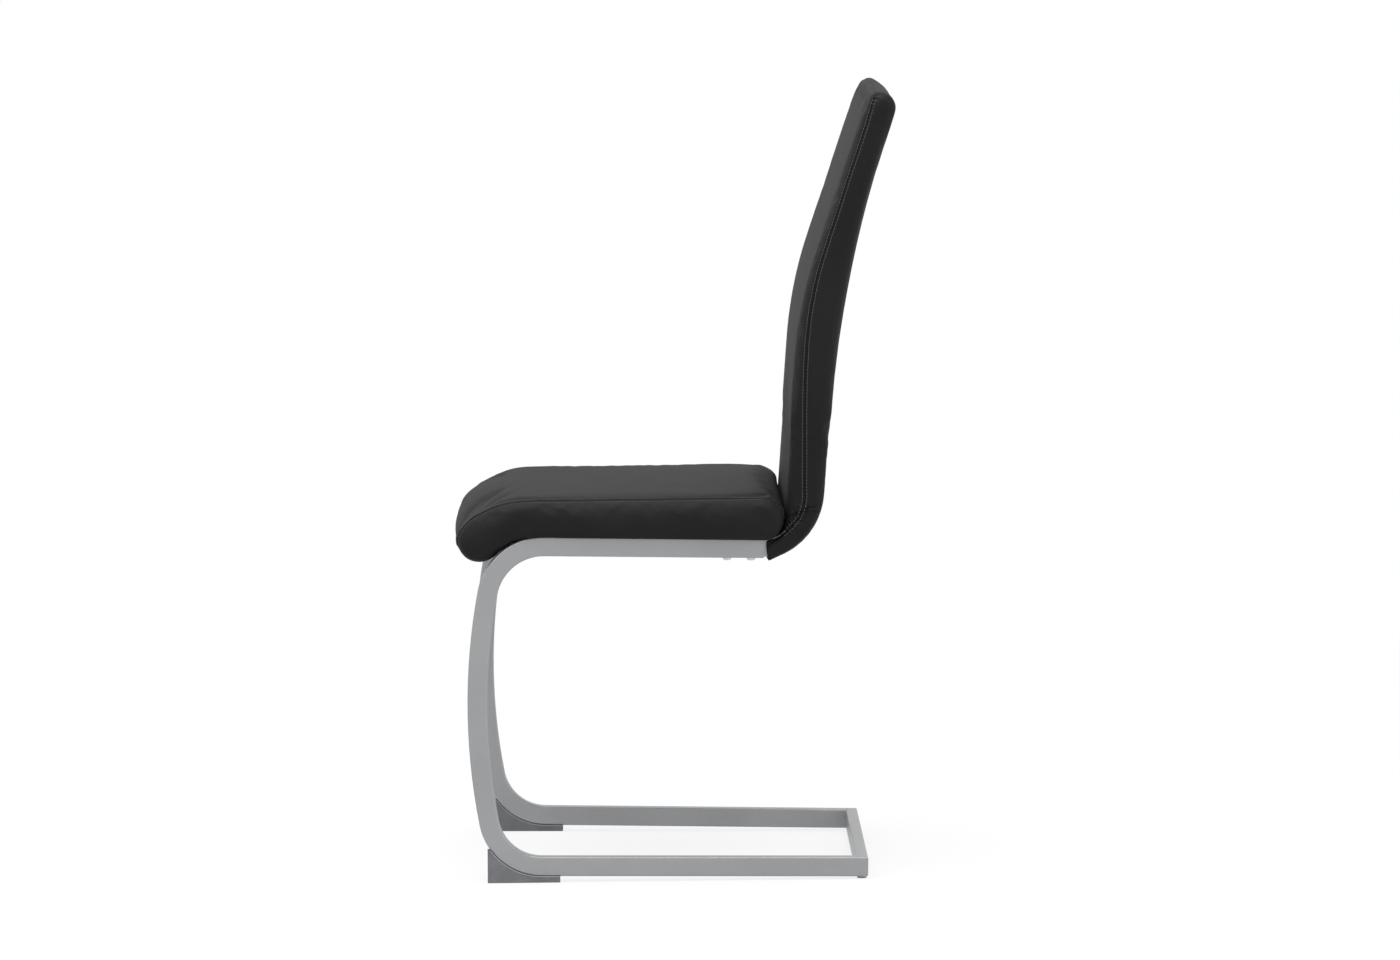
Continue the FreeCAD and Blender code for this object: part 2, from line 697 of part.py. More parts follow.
lowerDirection = lineDirection(90 - size("lowerLean"))
upperDirection = lineDirection(90 - size("upperLean"))
lowerNormal = (lowerDirection[1], -lowerDirection[0])
upperNormal = (upperDirection[1], -upperDirection[0])
footPoint = (size("backFootFront"), size("backFootHeight"))
frontBend = crossing(footPoint, lowerDirection, (0, size("backBendHeight")), (1, 0))
rearFoot = moved(footPoint, lowerNormal, size("lowerThickness"))
rearBend = crossing(rearFoot, lowerDirection, moved(frontBend, upperNormal, size("upperThickness")),
                    upperDirection)
topRounding = size("topFrontRadius") * (1 - upperDirection[1] - upperDirection[0])
topFront = crossing(frontBend, upperDirection, (0, size("overallHeight") - topRounding), (1, 0))
topRear = moved(topFront, upperNormal, size("upperThickness"))
tailTop = moved(railOrigin, railNormal, -size("seatGap"))
tailFrontTop = crossing(tailTop, railDirection, (size("tailFront") - size("tailSlant"), 0), (0, 1))
seatCorner = crossing(tailTop, railDirection, footPoint, lowerDirection)
tailFrontBottom = (size("tailFront"), size("tailBottom"))
tailCorner = crossing(tailFrontBottom, lineDirection(size("tailAngle")), rearFoot, lowerDirection)
leastRadius = 0.5
roundingShare = 0.98


def outlineWire(corners, insets, x):
    """A closed wire of lines and arcs at one x, from corners (y, z, radius) taken anticlockwise.
    Each side is drawn in by its own inset, and a rounding never takes more than its sides have."""
    count = len(corners)
    directions = []
    starts = []
    for i in range(count):
        y0, z0 = corners[i][:2]
        y1, z1 = corners[(i + 1) % count][:2]
        length = hypot(y1 - y0, z1 - z0)
        direction = ((y1 - y0) / length, (z1 - z0) / length)
        directions.append(direction)
        starts.append(moved((y0, z0), (-direction[1], direction[0]), insets[i]))
    points = [crossing(starts[i - 1], directions[i - 1], starts[i], directions[i]) for i in range(count)]
    turns = []
    reaches = []
    for i in range(count):
        before = directions[i - 1]
        after = directions[i]
        turn = atan2(before[0] * after[1] - before[1] * after[0],
                     before[0] * after[0] + before[1] * after[1])
        inset = (insets[i - 1] + insets[i]) / 2
        radius = max(corners[i][2] - inset, leastRadius) if turn > 0 else corners[i][2] + inset
        turns.append(turn)
        reaches.append(radius * tan(abs(turn) / 2))
    shares = []
    for i in range(count):
        end = points[(i + 1) % count]
        side = hypot(end[0] - points[i][0], end[1] - points[i][1])
        shares.append(min(1, roundingShare * side / (reaches[i] + reaches[(i + 1) % count])))
    arcs = []
    for i in range(count):
        before = directions[i - 1]
        reach = reaches[i] * min(shares[i - 1], shares[i])
        radius = reach / tan(abs(turns[i]) / 2)
        sign = 1 if turns[i] > 0 else -1
        first = moved(points[i], before, -reach)
        last = moved(points[i], directions[i], reach)
        centre = moved(first, (-before[1] * sign, before[0] * sign), radius)
        away = hypot(points[i][0] - centre[0], points[i][1] - centre[1])
        outward = ((points[i][0] - centre[0]) / away, (points[i][1] - centre[1]) / away)
        middle = moved(centre, outward, radius)
        arcs.append([Vector(x, *point) for point in (first, middle, last)])
    edges = []
    for i in range(count):
        edges.append(Part.Arc(*arcs[i]).toShape())
        edges.append(Part.LineSegment(arcs[i][2], arcs[(i + 1) % count][0]).toShape())
    return Part.Wire(edges)


crownStations = (0.75, 0.35)


def crossLoft(half, rounding, outline):
    """Lofts one outline across the chair; it is drawn in towards both sides by a quarter circle."""
    stations = []
    for angle in (0, 30, 60, 90):
        x = half - rounding + rounding * cos(radians(angle))
        stations.append((x, rounding * (1 - sin(radians(angle)))))
    stations += [(half * share, 0.0) for share in crownStations]
    wires = [outline(-x, inset) for x, inset in stations]
    wires += [outline(x, inset) for x, inset in reversed(stations)]
    return Part.makeLoft(wires, True, True)


def crownAt(x, half, crown):
    return crown * (1 - (x / half) ** 2)


def backCorners():
    return [
        (*tailFrontBottom, size("tailEdgeRadius")),
        (*tailCorner, size("tailRadius")),
        (*rearBend, size("backRearBendRadius")),
        (*topRear, size("topRearRadius")),
        (*topFront, size("topFrontRadius")),
        (*frontBend, size("backFrontBendRadius")),
        (*seatCorner, size("backSeatRadius")),
        (*tailFrontTop, size("tailEdgeRadius")),
    ]


def backSolid(skin):
    """The backrest's outer form, or the same form a skin's thickness further in."""
    half = size("backWidth") / 2 - skin
    cornerRadius = size("topCornerRadius") - skin

    def outline(x, inset):
        beyond = max(abs(x) - (half - cornerRadius), 0)
        drop = cornerRadius - sqrt(max(cornerRadius ** 2 - beyond ** 2, 0))
        crown = crownAt(x, half, size("backCrown"))
        side = inset + skin
        insets = [side, side, side, max(side, drop + skin), side - crown, side - crown, side,
                  skin + inset * endShare]
        return outlineWire(backCorners(), insets, x)

    return crossLoft(half, size("backEdgeRounding") - skin, outline)


endShare = 0.15
topExcess = backSolid(0.0).BoundBox.ZMax - size("overallHeight")
topFront = moved(topFront, upperDirection, -topExcess / upperDirection[1])
topRear = moved(topRear, upperDirection, -topExcess / upperDirection[1])
backOuter = backSolid(0.0)
backInner = backSolid(size("coverThickness"))

# Back uprights: bent tubes that slide into the rails and run up inside the backrest

uprightDepth = size("tubeDepth") - 2 * size("tubeWall") - 2 * size("slideGap")
uprightWidth = size("tubeWidth") - 2 * size("tubeWall") - 2 * size("slideGap")
record("uprightDepth", uprightDepth)
record("uprightWidth", uprightWidth)
record("uprightCorner", size("innerCorner"))
record("uprightBoreDepth", uprightDepth - 2 * size("uprightWall"))
record("uprightBoreWidth", uprightWidth - 2 * size("uprightWall"))
record("uprightBoreCorner", leastRadius)
lowerLine = moved(footPoint, lowerNormal, size("frontPadding") + uprightDepth / 2)
upperLine = moved(frontBend, upperNormal, size("upperFrontPadding") + uprightDepth / 2)
uprightStart = moved(railEndPoint, railDirection, -size("uprightInsertion"))
uprightTop = crossing(upperLine, upperDirection, moved(topFront, upperDirection, -size("uprightTopGap")),
                      upperNormal)
footArcCentre = crossing(moved(railEndPoint, railNormal, size("uprightFootRadius")), railDirection,
                         moved(lowerLine, lowerNormal, -size("uprightFootRadius")), lowerDirection)
kneeArcCentre = crossing(moved(lowerLine, lowerNormal, size("uprightBendRadius")), lowerDirection,
                         moved(upperLine, upperNormal, size("uprightBendRadius")), upperDirection)
record("uprightStartY", uprightStart[0])
record("uprightStartZ", uprightStart[1])
record("uprightTopZ", uprightTop[1])
record("footArcY", footArcCentre[0])
record("kneeArcZ", kneeArcCentre[1])


def uprightPath(sketch):
    """Straight in the rail, bent up behind the seat, a gentle bend at the loins, straight to the top."""
    footRadius = size("uprightFootRadius")
    bendRadius = size("uprightBendRadius")
    points = [uprightStart, moved(footArcCentre, railNormal, -footRadius),
              moved(footArcCentre, lowerNormal, footRadius), moved(kneeArcCentre, lowerNormal, -bendRadius),
              moved(kneeArcCentre, upperNormal, -bendRadius), uprightTop]
    points = [Vector(*point, 0) for point in points]
    sketch.addGeometry(Part.LineSegment(points[0], points[1]), False)
    foot = arcBetween(footArcCentre, footRadius, 270 - size("railAngle"), 360 - size("lowerLean"))
    sketch.addGeometry(foot, False)
    sketch.addGeometry(Part.LineSegment(points[2], points[3]), False)
    knee = arcBetween(kneeArcCentre, bendRadius, 180 - size("upperLean"), 180 - size("lowerLean"))
    sketch.addGeometry(knee, False)
    sketch.addGeometry(Part.LineSegment(points[4], points[5]), False)
    for first, firstEnd, second, secondEnd in ((0, 2, 1, 1), (1, 2, 2, 1), (2, 2, 3, 2), (3, 1, 4, 1)):
        sketch.addConstraint(Sketcher.Constraint("Tangent", first, firstEnd, second, secondEnd))
    pin(sketch, 0, 1, ("uprightStartY", 1), ("uprightStartZ", 1))
    bindAngle(sketch, 0, "railAngle", -1)
    bindAngle(sketch, 2, "lowerLean", -1, 90)
    bindAngle(sketch, 4, "upperLean", -1, 90)
    bindConstraint(sketch, Sketcher.Constraint("Radius", 1, footRadius), "uprightFootRadius")
    bindConstraint(sketch, Sketcher.Constraint("Radius", 3, bendRadius), "uprightBendRadius")
    bindConstraint(sketch, Sketcher.Constraint("DistanceX", -1, 1, 1, 3, size("footArcY")), "footArcY")
    bindConstraint(sketch, Sketcher.Constraint("DistanceY", -1, 1, 3, 3, size("kneeArcZ")), "kneeArcZ")
    bindConstraint(sketch, Sketcher.Constraint("DistanceY", -1, 1, 4, 2, size("uprightTopZ")), "uprightTopZ")


def makeUpright(name, side):
    """Returns the body and the solid that its tube would fill without a bore."""
    body = addBody(name, sidePlacement(side))
    path = addSketch(body, name + "_path", "YZ_Plane")
    uprightPath(path)
    outer = addSketch(body, name + "_section", "XZ_Plane", sectionOffset(uprightStart, size("railAngle")))
    tubeSketch(outer, "uprightWidth", "uprightDepth", "uprightCorner")
    inner = addSketch(body, name + "_bore", "XZ_Plane", sectionOffset(uprightStart, size("railAngle")))
    tubeSketch(inner, "uprightBoreWidth", "uprightBoreDepth", "uprightBoreCorner")
    settle(body)
    full = pipe(body, "AdditivePipe", name + "_tube", outer, path).Shape.copy()
    full.Placement = sidePlacement(side)
    pipe(body, "SubtractivePipe", name + "_hollow", inner, path)
    cutBoltHoles(body, name)
    return body, full


uprightLeft, uprightLeftFull = makeUpright("back_upright_left", 1)
uprightRight, uprightRightFull = makeUpright("back_upright_right", -1)

# Threaded blocks inside the feet of the uprights, and the bolts that reach them from under the rails

railFloor = moved(railEndPoint, railNormal, -halfDepth)
boltSeats = [crossing(railFloor, railDirection, (size(alias), 0), (0, 1))
             for alias in ("firstBolt", "secondBolt")]


def alongUpright(point):
    dy = point[0] - uprightStart[0]
    dz = point[1] - uprightStart[1]
    return dy * railDirection[0] + dz * railDirection[1]


record("threadBlockWidth", size("uprightBoreWidth") - 2 * size("threadGap"))
record("threadBlockDepth", size("uprightBoreDepth") - 2 * size("threadGap"))
record("threadHoleRadius", size("boltDiameter") / 2 + size("threadGap"))


def makeThreadBlock(name, side):
    width = size("threadBlockWidth")
    depth = size("threadBlockDepth")
    middle = (alongUpright(boltSeats[0]) + alongUpright(boltSeats[1])) / 2
    slope = Rotation(Vector(1, 0, 0), -size("railAngle"))
    frame = sidePlacement(side) * Placement(Vector(0, *uprightStart), slope)
    corner = (-width / 2, middle - size("threadBlockLength") / 2, -depth / 2)
    block = placeBox(doc.addObject("Part::Box", name + "_bar"), "threadBlockWidth", "threadBlockLength",
                     "threadBlockDepth", frame, corner)
    for i, seat in enumerate(boltSeats):
        hole = doc.addObject("Part::Cylinder", "%s_hole_%d" % (name, i + 1))
        bindSizes(hole, {"Radius": "threadHoleRadius", "Height": "tubeDepth"})
        hole.Placement = frame * Placement(Vector(0, alongUpright(seat), -halfDepth), Rotation())
        cut = addNode("Part::Cut", name) if i == 1 else doc.addObject("Part::Cut", name + "_first_cut")
        cut.Base = block
        cut.Tool = hole
        block = cut


makeThreadBlock("thread_block_left", 1)
makeThreadBlock("thread_block_right", -1)
bolt = screwShape(size("boltDiameter"), size("boltLength"), size("boltHeadDiameter"), size("boltHeadHeight"),
                  size("boltSocket"), size("boltHeadHeight") * socketShare)
domed = [edge for edge in bolt.Edges if len(edge.Vertexes) == 1
         and abs(edge.BoundBox.ZMax + size("boltHeadHeight")) < leastRadius]
domeShare = 0.6
bolt = bolt.makeFillet(size("boltHeadHeight") * domeShare, domed)
boltTurn = Rotation(Vector(1, 0, 0), -size("railAngle"))
addSolid("frame_bolts", placedCopies(bolt, [sidePlacement(side) * Placement(Vector(0, *seat), boltTurn)
                                            for side in (1, -1) for seat in boltSeats]))

# Cross bars and elastic straps between the uprights, each laid along the line of the back

def backFrame(point, lean):
    """A frame on the uprights' middle line, with z up along the back and y through its thickness."""
    return Placement(Vector(0, *point), Rotation(Vector(1, 0, 0), -lean))


def uprightInnerX(y):
    return tubeCentreX(y) - uprightWidth / 2 / cos(toe)


lowerStraight = moved(footArcCentre, lowerNormal, size("uprightFootRadius"))
lowerEnd = moved(kneeArcCentre, lowerNormal, -size("uprightBendRadius"))
upperStart = moved(kneeArcCentre, upperNormal, -size("uprightBendRadius"))


def makeBackBar(name, point, lean, direction):
    """A flat bar whose lower edge is at the point."""
    far = moved(point, direction, size("backBarWidth"))
    record(name + "_length", 2 * (uprightInnerX(far[0] + size("backBarThickness")) - size("weldGap")))
    corner = (-size(name + "_length") / 2, -size("backBarThickness") / 2, 0)
    return placeBox(addNode("Part::Box", name), name + "_length", "backBarThickness", "backBarWidth",
                    backFrame(point, lean), corner)


backBars = [
    makeBackBar("back_lower_bar", lowerStraight, size("lowerLean"), lowerDirection),
    makeBackBar("back_middle_bar", lowerEnd, size("lowerLean"), lowerDirection),
    makeBackBar("back_top_bar", moved(uprightTop, upperDirection, -size("backBarWidth")), size("upperLean"),
                upperDirection),
]


def strapRow(name, start, end, direction, lean, count):
    """Straps spread evenly over one straight stretch of the uprights."""
    run = hypot(end[0] - start[0], end[1] - start[1])
    gap = (run - count * size("strapWidth")) / count
    row = []
    for i in range(count):
        point = moved(start, direction, gap / 2 + i * (size("strapWidth") + gap))
        alias = "%s_%d" % (name, i + 1)
        record(alias + "_length", 2 * tubeCentreX(point[0]) + uprightWidth)
        corner = (-size(alias + "_length") / 2, -uprightDepth / 2 - size("strapThickness"), 0)
        row.append(placeBox(doc.addObject("Part::Box", alias), alias + "_length", "strapThickness",
                            "strapWidth", backFrame(point, lean), corner))
    return row


lowerStraps = 3
upperStraps = 3
straps = addNode("Part::Compound", "back_straps")
straps.Links = (
    strapRow("lower_strap", lowerStraight, lowerEnd, lowerDirection, size("lowerLean"), lowerStraps)
    + strapRow("upper_strap", upperStart, uprightTop, upperDirection, size("upperLean"), upperStraps))

# Hem strip: stiffens the lower front edge of the back cover, between the uprights

record("hemStripLength", 2 * (uprightInnerX(size("railEnd")) - size("holeGap")))
hemCorner = (-size("hemStripLength") / 2, size("tailFront") + size("coverThickness"),
             size("tailBottom") + size("hemStripHeight") / 2)
hemStrip = placeBox(addNode("Part::Box", "hem_strip"), "hemStripLength", "hemStripThickness",
                    "hemStripHeight", Placement(), hemCorner)
settle(straps)

# Back padding: foam in front of the straps, foam behind and around the frame, and the sewn cover

frontPlane = -uprightDepth / 2
kneeFront = size("uprightBendRadius") - frontPlane
farBelow = moved(moved(lowerLine, lowerNormal, frontPlane), lowerDirection, -size("overallHeight"))
farAbove = moved(moved(upperLine, upperNormal, frontPlane), upperDirection, size("overallHeight"))
kneeMiddle = lineDirection(-(size("lowerLean") + size("upperLean")) / 2)
reach = size("backWidth") / 2 - size("backEdgeRounding")


def atLeft(point):
    return Vector(-reach, *point)


def backRegion():
    """Everything in front of the uprights' front faces, from the foot of their straight part upwards."""
    bendPoints = [atLeft(moved(kneeArcCentre, normal, -kneeFront)) for normal in
                  (lowerNormal, kneeMiddle, upperNormal)]
    corners = [atLeft(farAbove), atLeft((size("seatFront"), farAbove[1])),
               atLeft((size("seatFront"), farBelow[1])), atLeft(farBelow)]
    edges = [Part.Arc(*bendPoints).toShape(), Part.LineSegment(bendPoints[2], corners[0]).toShape()]
    edges += [Part.LineSegment(corners[i], corners[i + 1]).toShape() for i in range(3)]
    edges.append(Part.LineSegment(corners[3], bendPoints[0]).toShape())
    region = Part.Face(Part.Wire(edges)).extrude(Vector(2 * reach, 0, 0))
    return region.common(Part.makeBox(4 * reach, 8 * reach, 8 * reach,
                                      Vector(-2 * reach, -4 * reach, lowerStraight[1])))


frontRegion = backRegion()
addSolid("back_front_foam", backInner.common(frontRegion).cut(straps.Shape))
fillings = [uprightLeftFull, uprightRightFull, hemStrip.Shape, straps.Shape]
fillings += [bar.Shape for bar in backBars]
addSolid("back_rear_foam", backInner.cut([frontRegion] + fillings))
addSolid("back_cover", backOuter.cut([backInner, uprightLeftFull, uprightRightFull]))

# Seat pad outline in the rails' own frame: y runs along a rail to the rear and z away from it

def inRailFrame(point):
    dy = point[0] - railOrigin[0]
    dz = point[1] - railOrigin[1]
    return (dy * railDirection[0] + dz * railDirection[1], dy * railNormal[0] + dz * railNormal[1])


def seatCorners():
    front = inRailFrame((size("seatFront"), railOrigin[1]))[0]
    topPoint = inRailFrame((0, size("seatSideTop")))
    topLine = lineDirection(size("railAngle"))
    rearPoint = inRailFrame(moved(footPoint, lowerNormal, -size("seatGap")))
    rearLine = lineDirection(90 - size("lowerLean") + size("railAngle"))
    rearLower = crossing(rearPoint, rearLine, (0, 0), (1, 0))
    hollow = size("upperBendRadius") + halfDepth + size("seatGap")
    hollowCorner = (-hollow * tan(radians(size("seatRollAngle") / 2)), 0)
    rollLine = lineDirection(size("seatRollAngle"))
    upright = (0, 1)
    return [
        (*rearLower, size("seatRearLowerRadius")),
        (*moved(rearLower, rearLine, size("seatRearRise")), size("seatRearUpperRadius")),
        (*crossing(topPoint, topLine, (rearLower[0] - size("seatRearShoulder"), 0), upright),
         size("seatRearShoulderRadius")),
        (*crossing(topPoint, topLine, (front + size("noseShoulderSetback"), 0), upright),
         size("noseShoulderRadius")),
        (front + size("noseBrowSetback"), size("noseBrowHeight"), size("noseBrowRadius")),
        (front, size("noseFrontHeight"), size("noseFrontRadius")),
        (*crossing(hollowCorner, rollLine, (front + size("noseTipSetback"), 0), upright),
         size("noseTipRadius")),
        (*hollowCorner, hollow),
    ]


def seatSolid(skin):
    """The seat pad's outer form, or the same form a skin's thickness further in."""
    half = size("seatWidth") / 2 - skin

    def outline(x, inset):
        side = inset + skin
        top = side - crownAt(x, half, size("seatCrown"))
        nose = side - crownAt(x, half, size("seatFrontCrown"))
        rear = side + crownAt(x, half, size("backCrown"))
        below = skin + inset * endShare
        return outlineWire(seatCorners(), [rear, top, top, nose, nose, nose, below, below], x)

    return crossLoft(half, size("seatEdgeRounding") - skin, outline)


seatOuter = seatSolid(0.0)
seatInner = seatSolid(size("coverThickness"))

# Seat board with its fixings, and the cloth that closes the pad from below

record("boardRear", size("boardFront") + size("boardLength"))
record("clothHalfWidth", size("boardHalfWidth") - size("dustCoverMargin"))
record("clothFront", size("boardFront") + size("dustCoverMargin"))
record("clothRear", size("boardRear") - size("dustCoverMargin"))
record("barrelHole", size("teeNutBarrel") + size("holeGap"))


def makePlate(name, halfWidth, front, rear, thickness, base, hole):
    """A flat plate with rounded corners and a hole over every seat screw."""
    body = addBody(name, railFrame)
    level = Placement(Vector(0, 0, base), Rotation())
    outline = addSketch(body, name + "_outline", "XY_Plane", level)
    polygonSketch(outline, [((halfWidth, -1), (front, 1)), ((halfWidth, 1), (front, 1)),
                            ((halfWidth, 1), (rear, 1)), ((halfWidth, -1), (rear, 1))])
    plate = pad(body, name + "_plate", outline, thickness)
    uprightEdges = ["Edge%d" % (i + 1) for i, edge in enumerate(plate.Shape.Edges)
                    if edge.BoundBox.ZLength > size(thickness) / 2]
    rounded = body.newObject("PartDesign::Fillet", name + "_corners")
    rounded.Base = (plate, uprightEdges)
    rounded.setExpression("Radius", "Sizes.boardCornerRadius")
    settle(body)
    holes = addSketch(body, name + "_holes", "XY_Plane", level)
    circleSketch(holes, [(("seatScrewX", side), (bar + "_holeY", 1)) for side in (1, -1)
                         for bar in ("front_seat_bar", "rear_seat_bar")], hole)
    pocket(body, name + "_cut", holes)
    return body


seatBoard = makePlate("seat_board", "boardHalfWidth", "boardFront", "boardRear", "boardThickness",
                      size("coverThickness"), "barrelHole")
seatCloth = makePlate("seat_dust_cover", "clothHalfWidth", "clothFront", "clothRear", "coverThickness", 0,
                      "seatScrewHole")
boardTop = size("coverThickness") + size("boardThickness")
barFloor = -size("barThickness")
screwPlaces = [railFrame * Placement(Vector(side * size("seatScrewX"), size(bar + "_holeY"), 0), Rotation())
               for side in (1, -1) for bar in ("front_seat_bar", "rear_seat_bar")]
teeNut = disc(size("teeNutFlange"), size("teeNutFlangeThickness"), boardTop)
teeNut = teeNut.fuse(disc(size("teeNutBarrel"), size("boardThickness"), size("coverThickness")))
teeNut = teeNut.cut(disc(size("seatScrewDiameter") + 2 * size("threadGap"), 2 * boardTop)).removeSplitter()
teeNuts = addSolid("seat_tee_nuts", placedCopies(teeNut, screwPlaces))
washer = disc(size("washerDiameter"), size("washerThickness"), barFloor - size("washerThickness"))
washer = washer.cut(disc(size("seatScrewHole"), 4 * size("washerThickness"), 2 * barFloor))
addSolid("seat_washers", placedCopies(washer, screwPlaces))
headSeat = barFloor - size("washerThickness")
seatScrew = screwShape(size("seatScrewDiameter"), boardTop - headSeat, size("seatScrewHead"),
                       size("seatScrewHeadHeight"), size("boltSocket"),
                       size("seatScrewHeadHeight") * socketShare)
seatScrew.translate(Vector(0, 0, headSeat))
addSolid("seat_screws", placedCopies(seatScrew, screwPlaces))

# Seat padding and cover

def roundedPlate(halfWidth, front, rear, base, thickness):
    """A plate like the board or the cloth, without its holes."""
    plate = Part.makeBox(2 * halfWidth, rear - front, thickness, Vector(-halfWidth, front, base))
    corners = [edge for edge in plate.Edges if edge.BoundBox.ZLength > thickness / 2]
    return plate.makeFillet(size("boardCornerRadius"), corners)


boardSpace = roundedPlate(size("boardHalfWidth"), size("boardFront"), size("boardRear"),
                          size("coverThickness"), size("boardThickness"))
clothSpace = roundedPlate(size("clothHalfWidth"), size("clothFront"), size("clothRear"),
                          -size("coverThickness"), 2 * size("coverThickness"))
flangeSpaces = [disc(size("teeNutFlange"), size("teeNutFlangeThickness"), boardTop,
                     side * size("seatScrewX"), size(bar + "_holeY"))
                for side in (1, -1) for bar in ("front_seat_bar", "rear_seat_bar")]
addSolid("seat_foam", seatInner.cut([boardSpace] + flangeSpaces), railFrame)
addSolid("seat_cover", seatOuter.cut([seatInner, clothSpace]), railFrame)

# Everything is checked before anything is written

doc.recompute()
for feature in doc.Objects:
    if "Invalid" in feature.State or "Error" in feature.State:
        raise RuntimeError("%s is %s" % (feature.Label, feature.State))
for name, node in nodes.items():
    if node.Shape.isNull() or not node.Shape.isValid():
        raise RuntimeError("%s has no sound shape" % name)
os.makedirs("parts", exist_ok=True)
for name, node in nodes.items():
    node.Shape.exportStep("parts/%s.step" % name)
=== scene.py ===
# Cantilever dining chair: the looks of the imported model, in metres, in the model's own frame
import math
import bmesh
import bpy
import numpy as np
from mathutils import Matrix, Vector
from mathutils.bvhtree import BVHTree


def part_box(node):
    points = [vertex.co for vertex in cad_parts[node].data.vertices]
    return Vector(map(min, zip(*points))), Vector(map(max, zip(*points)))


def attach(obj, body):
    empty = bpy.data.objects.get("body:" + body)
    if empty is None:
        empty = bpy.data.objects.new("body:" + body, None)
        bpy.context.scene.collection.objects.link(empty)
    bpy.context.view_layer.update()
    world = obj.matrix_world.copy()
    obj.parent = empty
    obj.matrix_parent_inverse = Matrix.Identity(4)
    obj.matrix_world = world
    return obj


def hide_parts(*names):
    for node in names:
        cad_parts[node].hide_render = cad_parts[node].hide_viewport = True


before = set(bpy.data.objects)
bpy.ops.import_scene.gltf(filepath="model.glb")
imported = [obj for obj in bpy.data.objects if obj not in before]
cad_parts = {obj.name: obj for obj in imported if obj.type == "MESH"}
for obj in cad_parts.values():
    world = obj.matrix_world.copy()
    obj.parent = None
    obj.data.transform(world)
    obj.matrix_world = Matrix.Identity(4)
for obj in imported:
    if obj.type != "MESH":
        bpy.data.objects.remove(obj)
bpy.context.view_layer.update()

scene = bpy.context.scene
mm = 0.001


# Node trees

def linear(hexColour):  # sRGB hex to linear RGBA
    parts = [int(hexColour[i:i + 2], 16) / 255 for i in (1, 3, 5)]
    return tuple(c / 12.92 if c <= 0.04045 else ((c + 0.055) / 1.055) ** 2.4 for c in parts) + (1.0,)


def wire(tree, node, links):
    for socket, source in dict(links).items():
        tree.links.new(source, node.inputs[socket])


def addNode(tree, kind, links=(), values=(), stops=(), **settings):
    # adds a node with its settings, values and links; stops are (position, colour) pairs of a colour ramp
    node = tree.nodes.new(kind)
    for name, value in settings.items():
        setattr(node, name, value)
    for socket, value in dict(values).items():
        node.inputs[socket].default_value = value
    for number, (position, colour) in enumerate(stops):
        if number == len(node.color_ramp.elements):
            node.color_ramp.elements.new(position)
        node.color_ramp.elements[number].position = position
        node.color_ramp.elements[number].color = linear(colour)
    wire(tree, node, links)
    return node


def startMaterial(name, surface):
    material = bpy.data.materials.new(name)
    material.use_nodes = True
    tree = material.node_tree
    shader = tree.nodes["Principled BSDF"]
    for socket, value in surface.items():
        shader.inputs[socket].default_value = value
    place = addNode(tree, "ShaderNodeTexCoord").outputs["Object"]
    return material, tree, shader, place


# Camera: the photograph's view of the chair's left side, from about eight metres

camera = {
    "place": (8.211, -0.065, 1.383),
    "pitch": 6.23,     # degrees down
    "yaw": 0.69,       # degrees towards the chair's rear
    "roll": -0.23,
    "lens": 165.4,     # on a 36 mm sensor
}


def makeCamera():
    data = bpy.data.cameras.new("camera")
    data.lens = camera["lens"]
    data.sensor_width = 36
    data.clip_start = 0.1
    data.clip_end = 200
    eye = bpy.data.objects.new("camera", data)
    scene.collection.objects.link(eye)
    turn = (Matrix.Rotation(math.radians(90 - camera["yaw"]), 4, "Z")
            @ Matrix.Rotation(math.radians(90 - camera["pitch"]), 4, "X")
            @ Matrix.Rotation(math.radians(camera["roll"]), 4, "Z"))
    eye.matrix_world = Matrix.Translation(camera["place"]) @ turn
    scene.camera = eye


makeCamera()
print("camera placed")


# Materials

silverCoat = {
    "metallic": 0.55,      # aluminium flake in the powder
    "roughness": 0.42,
    "peelSize": 1.6,       # mm, the orange peel that powder coat dries to
    "peelDepth": 0.012,    # mm
    "flakeSize": 0.6,      # mm, drawn coarser than the real 0.05 so that it shows
    "flakes": ("#8b8c8e", "#9b9c9d"),
    "clouds": ("#909193", "#97989a"),
    "cloudShare": 0.6,     # of the colour, the rest is flakes
    "uneven": 0.04,        # how far the roughness strays to either side
}


